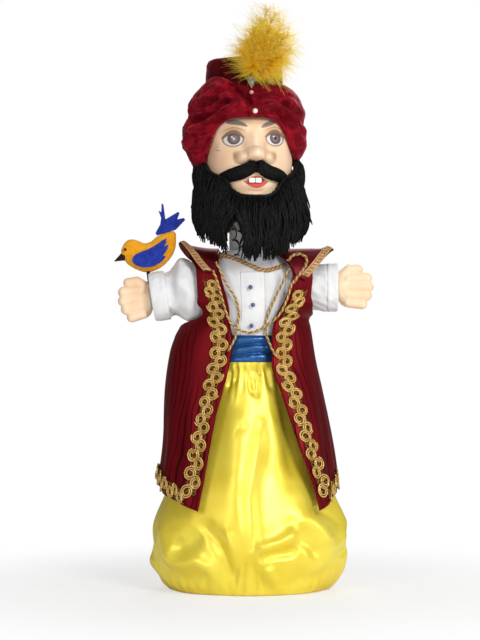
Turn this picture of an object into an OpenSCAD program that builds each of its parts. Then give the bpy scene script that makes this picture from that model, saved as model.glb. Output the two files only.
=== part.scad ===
// Hand puppet of a turbaned, bearded man with a bird on one hand.
// Millimetres. The puppet faces -Y, +X is to the viewer's right and Z points up from the floor under the hem.

/* [Skirt] */
// Half of the skirt's greatest width
skirt_half_w = 102; // [90:1:115]
// Depth of the skirt as a share of its width
skirt_depth_share = 0.78; // [0.7:0.01:0.85]
// Thickness of the gathered satin
satin_t = 2.5; // [2:0.1:3]
// Depth of the skirt's main folds
fold_depth = 4; // [0:0.5:5]
// Radius of the opening for the player's hand
hem_r = 50; // [44:1:52]
// Height of the stiff band round the opening
hem_h = 8; // [6:1:12]
// Radius of the lining where it ends at the waist
lining_top_r = 29; // [26:0.5:30]
// Thickness of the lining
lining_t = 1.5; // [1:0.1:2]

/* [Waist] */
// Height of the plane where the shirt meets the sash
waist_z = 267; // [262:1:270]
// Height of the blue sash
sash_h = 28; // [22:1:30]
// Half width of the sash
sash_half_w = 44.5; // [43:0.5:46]
// Half depth of the sash
sash_half_d = 38; // [37:0.5:39]
// Gap between the pieces above and below the waist
waist_gap = 0.6; // [0.4:0.1:1]

/* [Coat] */
// Thickness of the lined coat
coat_t = 2; // [1.4:0.1:2.2]
// Width of the gold braid on the coat's fronts
braid_w = 17; // [14:0.5:18]
// Thickness of the gold braid
braid_t = 1.7; // [1.2:0.1:2]
// Strip of red cloth that shows between the braid and the coat's edge
braid_inset = 4.5; // [3:0.5:6]
// Length of one scallop of the braid
scallop_pitch = 14; // [12:1:18]
// How far a scallop swells
scallop_swell = 1.2; // [0:0.1:1.4]
// Width of the braid on the collar
collar_braid_w = 7.5; // [5:0.5:9]

/* [Shirt] */
// Thickness of the shirt cloth
shirt_t = 2; // [1.4:0.1:2.2]
// Radius of one blue bead button
button_r = 2.3; // [1.8:0.1:2.6]
// Thickness of the twisted gold cord
cord_d = 2.8; // [2.2:0.1:3.2]

/* [Arms] */
// Radius of the sleeves at the elbow
sleeve_r = 23; // [20:0.5:23.5]
// Thickness of the sleeves
sleeve_t = 1.6; // [1.2:0.1:2]
// How far the left upper sleeve puffs out
left_puff = 9; // [6:0.5:9]
// Length of the upper sleeve beyond the shoulder
upper_sleeve_l = 22; // [20:0.5:24]
// Length from the shoulder to the cuff's edge
cuff_edge = 46; // [45:0.5:47]
// Length of the turned-back cuff
cuff_l = 12; // [9:0.5:14]
// Downward slope of the arm that carries the bird
left_droop = 9.3; // [4:0.1:11]
// Radius of the finger socket in each hand
socket_r = 8.2; // [7.6:0.1:8.4]
// Wall of the socket tube
socket_t = 1.5; // [1.2:0.1:1.6]
// Length of the socket tube
socket_l = 28; // [24:1:28]

/* [Head] */
// Angle by which the face looks to the viewer's right
face_turn = 8; // [0:1:10]
// Radius of the finger hole in the neck
finger_r = 10.5; // [9:0.1:11]
// Wall of the neck tube
neck_tube_t = 2.5; // [2:0.1:3]
// Radius of the velvet crown
crown_r = 41; // [38:0.5:42]
// Height of the top of the crown
crown_top = 557; // [552:1:560]
// Height of the tip of the plume
plume_top = 603; // [596:1:606]
// Thickness of the beard at its fullest
beard_t = 14; // [9:0.5:15]
// Swell of the turban wrap at the front
wrap_t = 13; // [9:0.5:15]

/* [Bird] */
// Half thickness of the stuffed bird
bird_half_t = 10; // [8:0.5:10.5]
// Thickness of the felt wings and tail
felt_t = 1.8; // [1.4:0.1:2.4]

/* [Hidden] */
$fn = 48;

// Colours
yellow = [0.89, 0.80, 0.10];
cream = [0.93, 0.92, 0.88];
blue = [0.15, 0.36, 0.66];
crimson = [0.45, 0.05, 0.09];
gold = [0.80, 0.63, 0.25];
skin = [0.95, 0.80, 0.63];
black = [0.05, 0.05, 0.05];
velvet = [0.58, 0.06, 0.17];
maroon = [0.36, 0.04, 0.07];
orange = [0.94, 0.66, 0.12];
felt_blue = [0.13, 0.20, 0.60];
white = [0.95, 0.95, 0.95];
silver = [0.70, 0.72, 0.70];
card = [0.72, 0.60, 0.44];

// Smooth value at t through a short list of [place, value] stations
function span(t, s, k = 0) = (k >= len(s) - 2 || t < s[k + 1][0]) ? k : span(t, s, k + 1);
function slope(s, k) =
    let (a = max(k - 1, 0), b = min(k + 1, len(s) - 1))
    (s[b][1] - s[a][1]) / (s[b][0] - s[a][0]);
function curve(t, s) =
    let (
        k = span(t, s),
        h = s[k + 1][0] - s[k][0],
        u = min(max((t - s[k][0]) / h, 0), 1)
    )
    (2 * u^3 - 3 * u^2 + 1) * s[k][1] + (u^3 - 2 * u^2 + u) * h * slope(s, k)
    + (3 * u^2 - 2 * u^3) * s[k + 1][1] + (u^3 - u^2) * h * slope(s, k + 1);
function mix(a, b, t) = a + (b - a) * t;
function unit(v) = v / norm(v);
function flat(lists) = [for (l = lists) each l];
function steps(n) = [for (i = [0:n]) i / n];
function bell(x, width) = exp(-(x / width)^2);
function ease(t) = let (u = min(max(t, 0), 1)) u^2 * (3 - 2 * u);
// Points through a list of route points, numbered from 0
function numbered(route) = [for (i = [0:len(route) - 1]) [i, route[i]]];
function along_route(route, n) =
    [for (t = steps(n)) curve(t * (len(route) - 1), numbered(route))];

// Direction square to a grid of points, at one of its points
function facing(g, i, j) =
    let (
        last_i = len(g) - 1,
        last_j = len(g[0]) - 1,
        along = g[i][min(j + 1, last_j)] - g[i][max(j - 1, 0)],
        across = g[min(i + 1, last_i)][j] - g[max(i - 1, 0)][j]
    )
    unit(cross(along, across));
function lifted(g, d) =
    [for (i = [0:len(g) - 1]) [for (j = [0:len(g[0]) - 1]) g[i][j] + d * facing(g, i, j)]];

// Closed solid between two grids of the same size
module pad(near, far) {
    rows = len(near);
    cols = len(near[0]);
    n = rows * cols;
    cells = [for (i = [0:rows - 2], j = [0:cols - 2]) i * cols + j];
    near_skin = [for (a = cells) each [[a, a + 1, a + cols + 1], [a, a + cols + 1, a + cols]]];
    far_skin = [for (f = near_skin) [f[2] + n, f[1] + n, f[0] + n]];
    rim = concat(
        [for (j = [0:cols - 2]) j],
        [for (i = [0:rows - 2]) i * cols + cols - 1],
        [for (j = [cols - 1:-1:1]) (rows - 1) * cols + j],
        [for (i = [rows - 1:-1:1]) i * cols]
    );
    edge = [for (k = [0:len(rim) - 1])
        let (a = rim[k], b = rim[(k + 1) % len(rim)])
        each [[b, a, a + n], [b, a + n, b + n]]];
    polyhedron(concat(flat(near), flat(far)), concat(near_skin, far_skin, edge));
}

// Cloth that follows a grid, from one height over it to another
module cloth(g, near, far) {
    pad(lifted(g, near), lifted(g, far));
}

// Closed ring whose section changes from loop to loop
module ring(loops) {
    n = len(loops[0]);
    m = len(loops);
    faces = [for (i = [0:m - 1], j = [0:n - 1])
        let (
            next_i = (i + 1) % m,
            next_j = (j + 1) % n,
            a = i * n + j,
            b = i * n + next_j,
            c = next_i * n + j,
            d = next_i * n + next_j
        )
        each [[a, d, b], [a, c, d]]];
    polyhedron(flat(loops), faces);
}

// Solid through a stack of rings, with its ends closed
module loft(rings) {
    n = len(rings[0]);
    m = len(rings);
    sides = [for (i = [0:m - 2], j = [0:n - 1])
        let (a = i * n + j, b = i * n + (j + 1) % n)
        each [[a, a + n, b + n], [a, b + n, b]]];
    foot = [for (j = [1:n - 2]) [0, j, j + 1]];
    top = [for (j = [1:n - 2]) [(m - 1) * n, (m - 1) * n + j + 1, (m - 1) * n + j]];
    polyhedron(flat(rings), concat(sides, foot, top));
}

// Round cord along a list of points, with eight sides
module tube(points, d) {
    last = len(points) - 1;
    loft([for (i = [0:last])
        let (
            ahead = unit(points[min(i + 1, last)] - points[max(i - 1, 0)]),
            side = unit(cross([0, 1, 0], ahead)),
            up = cross(ahead, side)
        )
        [for (k = [0:7]) points[i] + d / 2 * (cos(45 * k) * side + sin(45 * k) * up)]]);
}

// Skirt: share of the waist height against share of the half width
skirt_top = waist_z - sash_h;
skirt_profile = [
    [0, 0.80], [0.04, 0.90], [0.10, 0.965], [0.20, 1], [0.30, 0.97], [0.42, 0.86],
    [0.58, 0.70], [0.75, 0.55], [0.90, 0.44], [1, 0.40]
];
skirt_levels = [1, 0.92, 0.82, 0.70, 0.56, 0.43, 0.335, 0.26, 0.20, 0.145, 0.09, 0.04, 0];
skirt_around = 44;
front_crowding = 23;
flutes = 8;
waist_depth_share = 0.93;
seat_w = 9;
tuck = 4;

// Main folds seen at the front: a line of [side, height] points, a rise in shares of fold_depth and a width
drawn_folds = [
    [[[12, 176], [10, 154], [1, 106], [3, 64], [1, 8]], -2.2, 7],
    [[[36, 196], [43, 158], [47, 116]], -1.5, 10],
    [[[-9, 200], [-11, 148], [-13, 96]], 1, 14],
    [[[-44, 71], [-30, 52], [-21, 35], [-18, 23], [-23, 4]], -2, 7],
    [[[-90, 64], [-82, 42], [-71, 33], [-53, 35], [-41, 25], [-37, 6]], 1.8, 8],
    [[[-50, 67], [-65, 52], [-80, 52]], -1.5, 10],
    [[[-84, 25], [-65, 17], [-46, 21], [-41, 2]], -1.3, 7],
    [[[6, 46], [16, 51], [31, 56], [43, 64], [52, 75]], 1.6, 7],
    [[[14, 43], [29, 45], [43, 46], [54, 53]], -1.7, 6],
    [[[17, 33], [22, 21], [31, 6]], 1.5, 6],
    [[[45, 6], [52, 15], [70, 17], [95, 27]], -1, 7],
    [[[52, 87], [74, 67], [87, 48]], 1.3, 8],
    [[[45, 73], [64, 52], [74, 37]], -1.2, 7]
];

// Shift of the places from which the back and the sides take their folds, and their strength at the sides
back_shift = [8, -4];
side_shift = [62, 6];
side_strength = 0.5;
// Height under which the folds are gathered in, and their least share there
gather_h = 22;
gather_share = 0.25;

function round_depth(level) = mix(skirt_depth_share, waist_depth_share, level);
function gap_to_line(p, line) = min([for (k = [0:len(line) - 2])
    let (
        start = line[k],
        way = line[k + 1] - start,
        t = min(max((p - start) * way / (way * way), 0), 1)
    )
    norm(p - start - t * way)]);
function rise_at(p) =
    let (rises = [for (f = drawn_folds) f[1] * bell(gap_to_line(p, f[0]), f[2])])
    rises * [for (r = rises) 1];
// Flutes all round, and the drawn folds, which the back and the sides repeat
function skirt_fold(a, level, w) =
    let (
        x = w * sin(a),
        z = skirt_top * level,
        front = ease((cos(a) - 0.1) / 0.5),
        back = ease((-cos(a) - 0.1) / 0.5),
        aside = sign(a) * (side_shift[0] + skirt_half_w * skirt_depth_share * (abs(a) - 90) * PI / 180),
        fluted = (1 - 0.75 * level) * (0.6 * cos(flutes * a + 150 * level) + 0.4 * cos(5 * a - 60)),
        drawn = front * rise_at([x, z]) + back * rise_at([back_shift[0] - x, z + back_shift[1]])
            + side_strength * (1 - front - back) * rise_at([aside, z + side_shift[1]]),
        gathered = mix(gather_share, 1, min(1, z / gather_h))
    )
    fold_depth * ((1 - 0.7 * front) * fluted + gathered * drawn);
function skirt_at(a, level, inward) =
    let (
        w = skirt_half_w * curve(level, skirt_profile),
        r = [w, w * round_depth(level)],
        grow = 1 + (skirt_fold(a, level, w) - inward) / w
    )
    [r[0] * grow * sin(a), -r[1] * grow * cos(a), skirt_top * level];

module skirt_satin() color(yellow) {
    seat_r = hem_r + seat_w;
    ring([for (i = [0:skirt_around - 1])
        let (
            even = i * 360 / skirt_around,
            a = even - front_crowding * sin(even),
            turned = a > 180 ? a - 360 : a,
            out = [for (l = skirt_levels) skirt_at(turned, l, 0)],
            in = [for (k = [len(skirt_levels) - 2:-1:0])
                skirt_at(turned, skirt_levels[k], satin_t)],
            seat = [seat_r * sin(a), -seat_r * cos(a), 0]
        )
        concat(out, [seat, seat + [0, 0, satin_t], skirt_at(turned, 0, tuck) + [0, 0, satin_t]], in)]);
}

module skirt_lining() color(cream)
    rotate_extrude()
        polygon([
            [hem_r, hem_h], [hem_r + lining_t, hem_h],
            [lining_top_r + lining_t, waist_z - 1], [lining_top_r, waist_z - 1]
        ]);

module hem_band() color(cream) {
    outer_r = hem_r + 7;
    rotate_extrude()
        polygon([
            [hem_r, 0], [outer_r - 1, 0], [outer_r, 1],
            [outer_r, hem_h - 1], [outer_r - 1, hem_h], [hem_r, hem_h]
        ]);
}

// Sash: three soft pleats that run round the waist
module sash() color(blue) {
    around = 30;
    pleats = 3;
    pleat_rise = 1.1;
    flare = 1.5;
    rise = 1.4;
    thickness = 4;
    ring([for (i = [0:around - 1])
        let (a = i * 360 / around)
        concat(
            [for (t = steps(8))
                let (
                    swell = pleat_rise * cos(360 * pleats * t + 12 * sin(2 * a)) + flare * (1 - t) - rise,
                    z = mix(waist_z, skirt_top + waist_gap, t)
                )
                [(sash_half_w + swell) * sin(a), -(sash_half_d + swell) * cos(a), z]],
            [for (t = [1, 0])
                let (z = mix(waist_z, skirt_top + waist_gap, t))
                [(sash_half_w - thickness) * sin(a), -(sash_half_d - thickness) * cos(a), z]]
        )]);
}

// Coat below the waist: half widths of its two sides and half depth, by height
coat_left_w = [[85, 99], [120, 96], [153, 92], [210, 89], [249, 83], [267, 77]];
coat_right_w = [[85, 97], [120, 93], [166, 86], [212, 77], [240, 71], [267, 67]];
coat_d = [[85, 90], [120, 78], [166, 66], [212, 55], [240, 48], [267, 44]];
// Front edges of the coat, by height
left_edge_x = [
    [85, -54], [121, -46], [153, -40], [186, -33], [204, -28], [227, -22], [250, -17], [267, -17]
];
right_edge_x = [
    [85, 74], [109, 68], [138, 57], [172, 46], [203, 36], [232, 25], [260, 24], [267, 24]
];
// Height of the hem at the fronts, the sides and the back
front_hem_z = 88;
left_side_hem_z = 118;
right_side_hem_z = 110;
back_hem_z = 106;
// Angles of the front corners and of the side seams
left_corner_a = -33;
right_corner_a = 50;
side_seam = 89.6;
coat_folds = 7;
coat_fold_depth = 1.8;
coat_fold_h = 120;
coat_squareness = 0.85;
coat_top = waist_z - waist_gap;

function coat_wave(a, z) =
    coat_fold_depth * cos(coat_folds * a + 50) * min(max((waist_z - z) / coat_fold_h, 0), 1) * abs(sin(a));
function coat_width(x, z) = curve(z, x < 0 ? coat_left_w : coat_right_w);
// The coat's section is a little squarer than an ellipse
function squared(v) = sign(v) * abs(v)^coat_squareness;
function coat_at(a, z) =
    let (
        wave = coat_wave(a, z),
        half_w = coat_width(sin(a), z) + wave,
        half_d = curve(z, coat_d) + wave
    )
    [half_w * squared(sin(a)), -half_d * squared(cos(a)), z];
function edge_angle(x, z) = asin(sign(x) * (abs(x) / coat_width(x, z))^(1 / coat_squareness));
// Angle at a distance from a front edge, measured along the cloth
function mm_per_degree(a, z) =
    norm([coat_width(sin(a), z) * cos(a), curve(z, coat_d) * sin(a)]) * PI / 180;
function angle_from(a, length, z) = a + length / mm_per_degree(a + length / 2 / mm_per_degree(a, z), z);
function left_angle(z, inset) = angle_from(edge_angle(curve(z, left_edge_x), z), -inset, z);
function right_angle(z, inset) = angle_from(edge_angle(curve(z, right_edge_x), z), inset, z);
function left_hem(a) =
    mix(front_hem_z, left_side_hem_z, (a - left_corner_a) / (-side_seam - left_corner_a));
function right_hem(a) =
    mix(front_hem_z, right_side_hem_z, (a - right_corner_a) / (side_seam - right_corner_a));

module coat_left_skirt() color(crimson)
    cloth([for (t = steps(10)) [for (s = steps(6))
        let (
            z = mix(coat_top, mix(front_hem_z, left_side_hem_z, s), t),
            a = mix(left_angle(z, 0), -side_seam, s)
        )
        coat_at(a, z)]], -coat_t, 0);

module coat_right_skirt() color(crimson)
    cloth([for (t = steps(10)) [for (s = steps(6))
        let (
            z = mix(coat_top, mix(right_side_hem_z, front_hem_z, s), t),
            a = mix(side_seam, right_angle(z, 0), s)
        )
        coat_at(a, z)]], -coat_t, 0);

module coat_back_skirt() color(crimson)
    cloth([for (t = steps(10)) [for (s = steps(18))
        let (
            side_z = mix(left_side_hem_z, right_side_hem_z, s),
            z = mix(coat_top, mix(side_z, back_hem_z, sin(180 * s)), t),
            a = mix(side_seam - 180, -side_seam - 180, s)
        )
        coat_at(a, z)]], -coat_t, 0);

// Gold braid: a strip with scalloped edges that lies on the coat
braid_gap = 0.5;
braid_cols = 2;
function scallop(length) = scallop_swell * cos(360 * length / scallop_pitch);
rows_per_scallop = 4;
function braid_rows(length) = round(length / scallop_pitch * rows_per_scallop);
left_braid_end = front_hem_z + 4;
right_braid_end = front_hem_z + 6;

module left_braid_skirt() color(gold)
    cloth([for (t = steps(braid_rows(coat_top - left_braid_end))) [for (s = steps(braid_cols))
        let (
            z = mix(coat_top, left_braid_end, t),
            side = scallop(z),
            inset = mix(braid_inset + side, braid_inset + braid_w + side, s)
        )
        coat_at(left_angle(z, inset), z)]], braid_gap, braid_gap + braid_t);

module right_braid_skirt() color(gold)
    cloth([for (t = steps(braid_rows(coat_top - right_braid_end))) [for (s = steps(braid_cols))
        let (
            z = mix(coat_top, right_braid_end, t),
            side = scallop(z),
            inset = mix(braid_inset + braid_w + side, braid_inset + side, s)
        )
        coat_at(right_angle(z, inset), z)]], braid_gap, braid_gap + braid_t);

// Braid along the hem, from the front braid to the side seam
hem_braid_h = 14;
hem_braid_lift = 3;
hem_braid_start = braid_inset + braid_w + 4;
hem_braid_last = side_seam - 2;
left_hem_braid_l = 70;
right_hem_braid_l = 28;
module left_hem_braid() color(gold)
    cloth([for (t = steps(2)) [for (s = steps(14))
        let (
            a = mix(left_angle(left_hem(-55), hem_braid_start), -hem_braid_last, s),
            z = left_hem(a) + hem_braid_lift + hem_braid_h * (1 - t) + scallop(left_hem_braid_l * s)
        )
        coat_at(a, z)]], braid_gap, braid_gap + braid_t);

module right_hem_braid() color(gold)
    cloth([for (t = steps(2)) [for (s = steps(8))
        let (
            a = mix(hem_braid_last, right_angle(right_hem(65), hem_braid_start), s),
            z = right_hem(a) + hem_braid_lift + hem_braid_h * (1 - t) + scallop(right_hem_braid_l * s)
        )
        coat_at(a, z)]], braid_gap, braid_gap + braid_t);

// Coat above the waist: height and half depth by steps from the shoulder ridge down to the waist
coat_path = [
    [0, [355.2, 0]], [1, [354, 12]], [2, [351, 24]], [3, [346, 33]], [4, [338, 39]],
    [5, [329, 41.8]], [6, [318, 42.8]], [7, [308, 43]], [8, [299, 43]], [9, [291.5, 43.2]],
    [10, [285, 43.4]], [11, [276, 43.7]], [12, [waist_z + waist_gap, 44]]
];
upper_left_w = [[0, 90], [7, 90], [8, 90], [9, 77], [10, 67.5], [11, 72], [12, 77]];
upper_right_w = [[0, 90], [7, 90], [8, 90], [9, 76], [10, 64.5], [11, 65.5], [12, 67]];
// Angle of the armhole edges, which is the side seam below the armhole
upper_seam = 87.4;
left_armhole = [
    [0, 47], [3, 42], [4, 38], [5, 37], [8, 36], [9, 38], [10, 50], [11, upper_seam], [12, upper_seam]
];
right_armhole = [[0, 47], [3, 47], [4, 47.5], [5, 48], [8, 48], [9, 62], [10, upper_seam], [12, upper_seam]];
left_back_armhole =
    [[0, 47], [3, 42], [4, 37], [5, 35], [8, 35], [9, 38], [10, 50], [11, upper_seam], [12, upper_seam]];
right_back_armhole = [[0, 47], [3, 47], [5, 47], [8, 47], [9, 60], [10, upper_seam], [12, upper_seam]];
// Front edges by the same steps, with the neck side over the shoulder
left_front_x = [
    [-3, 30], [0, 31], [2, 31], [4, 31], [5, 29], [6, 26], [7, 23],
    [8, 21], [9, 20], [10, 20], [11, 18.5], [12, 17]
];
right_front_x = [
    [-3, 30], [0, 31], [2, 33], [3, 38], [4, 44], [5, 46], [6, 42.6], [7, 39.5],
    [8, 35], [9, 31], [10, 28], [11, 25.5], [12, 24]
];
yoke_seam = 3;

function upper_width(x, k) = curve(abs(k), x < 0 ? upper_left_w : upper_right_w);
// Point of the coat at step k, where a negative k is behind the shoulder ridge
function upper_coat(a, k) =
    let (p = curve(abs(k), coat_path), side = k < 0 ? 1 : -1)
    [upper_width(a, k) * sin(a), side * p[1] * cos(a), p[0]];
function upper_coat_x(x, k) = upper_coat(asin(x / upper_width(x, k)), k);
front_steps = concat([0.15 - yoke_seam], [for (k = [1 - yoke_seam:12]) k]);
back_steps = concat([-0.15 - yoke_seam], [for (k = [yoke_seam + 1:12]) -k]);
function left_front_a(k) = -asin(curve(k, left_front_x) / upper_width(-1, k));
function right_front_a(k) = asin(curve(k, right_front_x) / upper_width(1, k));

module coat_left_front() color(crimson)
    cloth([for (k = front_steps) [for (s = steps(5))
        upper_coat(mix(left_front_a(k), -curve(abs(k), left_armhole), s), k)]], -coat_t, 0);

module coat_right_front() color(crimson)
    cloth([for (k = front_steps) [for (s = steps(5))
        upper_coat(mix(curve(abs(k), right_armhole), right_front_a(k), s), k)]], -coat_t, 0);

module coat_back() color(crimson)
    cloth([for (k = back_steps) [for (s = steps(14))
        upper_coat(mix(-1, 1, s) * curve(abs(k), s < 0.5 ? left_back_armhole : right_back_armhole), k)]],
        -coat_t, 0);

left_braid_from = 5.2;
right_braid_from = 6.2;
module left_braid() color(gold)
    cloth([for (t = steps(18)) [for (s = steps(braid_cols))
        let (
            k = mix(left_braid_from, 12, t),
            side = scallop(curve(k, coat_path)[0]),
            inset = mix(braid_inset + side, braid_inset + braid_w + side, s)
        )
        upper_coat_x(-curve(k, left_front_x) - inset, k)]], braid_gap, braid_gap + braid_t);

module right_braid() color(gold)
    cloth([for (t = steps(15)) [for (s = steps(braid_cols))
        let (
            k = mix(right_braid_from, 12, t),
            side = scallop(curve(k, coat_path)[0]),
            inset = mix(braid_inset + braid_w + side, braid_inset + side, s)
        )
        upper_coat_x(curve(k, right_front_x) + inset, k)]], braid_gap, braid_gap + braid_t);

// Collar, from its right front end round the neck to its left one.
// Each station has the step and side place of the neck edge, the same of the outer edge, and its lift.
collar_stations = [
    [5, 48, 5.5, 58, 0], [4.2, 45, 4.3, 68, 0], [3, 39, 3, 78, 0], [1.6, 34, 1.4, 86, 0],
    [0.3, 31.5, 0, 89.4, 0], [-1.2, 30.5, -1.6, 82, 0], [-2.2, 26, -3.2, 64, 0], [-2.6, 15, -4.6, 36, 0],
    [-2.7, 0, -5.2, 0, 0],
    [-2.6, -15, -4.6, -36, 0], [-2.2, -26, -3.2, -60, 0], [-1.2, -30.5, -1.6, -71, 3],
    [0.3, -31.5, 0, -74, 7], [1.6, -33, 1.4, -69, 5], [3, -33.5, 2.8, -60, 2], [4, -33, 3.9, -51, 0],
    [4.7, -32, 4.7, -44, 0]
];
collar_gap = 1.3;
collar_t = 1.8;
function collar_station(u) = curve(u, numbered(collar_stations));
function collar_at(u, t) =
    let (s = collar_station(u), k = mix(s[0], s[2], t), x = mix(s[1], s[3], t))
    upper_coat_x(x, k) + [0, 0, s[4] * t^2];
collar_last = len(collar_stations) - 1;

module collar() color(crimson)
    cloth([for (u = [0:collar_last]) [for (t = steps(4)) collar_at(u, t)]],
        collar_gap, collar_gap + collar_t);

module collar_braid() color(gold) {
    on_collar = collar_gap + collar_t + 0.6;
    thickness = 1.4;
    outer_share = 0.97;
    cloth([for (u = [0.3:0.5:collar_last - 0.2])
        let (
            s = collar_station(u),
            reach = max(norm(upper_coat_x(s[3], s[2]) - upper_coat_x(s[1], s[0])), collar_braid_w * 1.3)
        )
        [for (t = [outer_share - collar_braid_w / reach, outer_share]) collar_at(u, t)]],
        on_collar, on_collar + thickness);
}

// Shirt: half width and half depth by height
shirt_size = [
    [267, [43, 36]], [285, [46, 36.5]], [300, [49, 36.5]], [316, [51, 35]], [330, [50, 32]],
    [340, [46, 29.5]], [347, [39, 27.5]], [352, [32, 26.5]], [356, [27, 26]]
];
shirt_levels = [waist_z + waist_gap, 280, 294, 308, 322, 334, 343, 350, 356];
function shirt_at(a, z, inward) =
    let (s = curve(z, shirt_size))
    [(s[0] - inward) * sin(a), -(s[1] - inward) * cos(a), z];
function shirt_at_x(x, z) = shirt_at(asin(x / curve(z, shirt_size)[0]), z, 0);
shirt_around = 32;

module shirt_body() color(white)
    difference() {
        ring([for (i = [0:shirt_around - 1])
            let (a = -i * 360 / shirt_around)
            concat(
                [for (z = shirt_levels) shirt_at(a, z, 0)],
                [for (k = [len(shirt_levels) - 1:-1:0]) shirt_at(a, shirt_levels[k], shirt_t)]
            )]);
        for (side = sides)
            arm(side)
                translate([armhole_from, 0, 0])
                    rotate([0, 90, 0])
                        cylinder(r = armhole_r(side), h = armhole_l);
    }

module shirt_placket() color(white)
    cloth([for (t = steps(5)) [for (s = steps(3))
        shirt_at_x(mix(16, -8, s), mix(330, waist_z + 2, t))]], 0.4, 1.3);

button_places = [[2, 317], [4.5, 298.5], [3, 277]];
module shirt_buttons() color(blue)
    for (p = button_places)
        translate(shirt_at_x(p[0], p[1]) - [0, 1.6 + button_r, 0])
            sphere(r = button_r);

// Gold edging along the shirt's neckline, lowest a little to the right of the middle
function neckline_z(x) = 335 + 0.0052 * (x - 10)^2;
module neckline_braid() color(gold)
    cloth([for (t = steps(1)) [for (s = steps(14))
        let (
            x = mix(36, -36, s),
            z = neckline_z(x) + mix(2.5, -2.5, t)
        )
        shirt_at_x(x, z)]], 0.4, 1.8);

// Twisted gold cords that hang from the collar over the shirt, as points chosen by eye
left_cord_route = [
    [-34, -39, 343], [-29, -40, 333], [-24, -40, 322], [-19, -39, 314], [-14, -38.5, 306],
    [-11, -38.5, 296], [-10, -38.5, 287], [-11.5, -39.5, 278], [-13, -41, 269]
];
left_cord_end_route = [[-13.5, -42.5, 265.8], [-15.5, -45, 261], [-18, -47.2, 256], [-21, -49, 251]];
right_cord_route = [
    [42, -40, 336], [38, -40, 328], [34, -39.5, 319], [29, -38.5, 309], [24, -38.2, 298],
    [20, -38, 288], [17.5, -38, 280], [17.5, -39, 274], [18.5, -40.5, 269]
];
right_cord_end_route = [[19, -42, 265.8], [21, -44.5, 260], [24, -46.8, 253], [28, -48.6, 246]];
swag_route = [
    [-37, -44.5, 334], [-33, -46, 325], [-30, -46.5, 315], [-27, -46.5, 304], [-23.5, -46.5, 292],
    [-19, -46, 281], [-13, -44.5, 274.5], [-6, -43, 271], [2, -42.5, 270], [10, -42.5, 272.5],
    [18, -43, 277], [26, -43.5, 282.5], [33, -44, 290], [38, -44, 300], [42, -43, 311], [45, -42.5, 322]
];
module left_cord() color(gold) tube(along_route(left_cord_route, 14), cord_d);
module left_cord_end() color(gold) tube(along_route(left_cord_end_route, 4), cord_d);
module right_cord() color(gold) tube(along_route(right_cord_route, 14), cord_d);
module right_cord_end() color(gold) tube(along_route(right_cord_end_route, 4), cord_d);
module swag_cord() color(gold) tube(along_route(swag_route, 26), cord_d);

// Arms: each is drawn along +X from its shoulder and then put in place
left = -1;
right = 1;
sides = [left, right];
left_shoulder = [-57, 0, 314];
right_shoulder = [48, 0, 317];
// Armholes of the shirt, which start well inside the ends of the sleeves
armhole_from = -30;
armhole_l = 60;
function armhole_r(side) = sleeve_r + (side == left ? 5.5 : 1);
elbow_gap = 0.5;

module arm(side) {
    if (side == left)
        translate(left_shoulder) rotate([0, -left_droop, 0]) mirror([1, 0, 0]) children();
    else
        translate(right_shoulder) children();
}

// Turned form about the arm's own axis, from points of [length, radius]
module turned_on_arm(points)
    rotate([0, 90, 0])
        rotate_extrude()
            polygon([for (p = points) [p[1], p[0]]]);

function shell_points(outer) =
    concat(outer, [for (k = [len(outer) - 1:-1:0]) [outer[k][0], outer[k][1] - sleeve_t]]);

// Upper sleeves, the left one puffed, as points of length along the arm and rise over the elbow's radius
left_upper_rise = [
    [-9, 2], [-3, 5.5], [3, left_puff - 0.5], [10, left_puff], [17, left_puff - 4], [upper_sleeve_l, 0]
];
right_upper_rise = [[-9, -0.5], [2, 0.3], [12, 0.3], [upper_sleeve_l, 0]];
module upper_sleeve(side)
    arm(side)
        turned_on_arm(shell_points(
            [for (p = side == left ? left_upper_rise : right_upper_rise) [p[0], sleeve_r + p[1]]]
        ));

wrist_at = cuff_edge + 0.5;
wrist_r = socket_r + 4;
sleeve_full_at = 30;
sleeve_end_at = 37;
module lower_sleeve(side)
    arm(side)
        turned_on_arm(shell_points([
            [upper_sleeve_l + elbow_gap, sleeve_r], [sleeve_full_at, sleeve_r + 0.2],
            [sleeve_end_at, sleeve_r - 1], [42, 19], [wrist_at - 0.05, wrist_r - 0.4]
        ]));

// Cuff: sewn to the sleeve at its near edge and open at the hand. The left one is pulled back a little.
left_cuff_pull = 5.5;
module cuff(side) {
    inner = sleeve_r + 0.6;
    edge = side == left ? cuff_edge - left_cuff_pull : cuff_edge;
    start = edge - cuff_l;
    seam_r = sleeve_r + 0.3 - 1.2 * (start - sleeve_full_at) / (sleeve_end_at - sleeve_full_at);
    arm(side)
        turned_on_arm([
            [start, seam_r], [start + 0.8, inner + 1.8], [start + 3, inner + 2.2],
            [edge - 3, inner + 1.6], [edge - 0.5, inner + 1.2], [edge, inner]
        ]);
}

socket_start = 30;
module socket(side)
    arm(side)
        translate([socket_start, 0, 0])
            rotate([0, 90, 0])
                difference() {
                    cylinder(r = socket_r + socket_t, h = socket_l);
                    translate([0, 0, -1])
                        cylinder(r = socket_r, h = socket_l - 1);
                }

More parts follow.
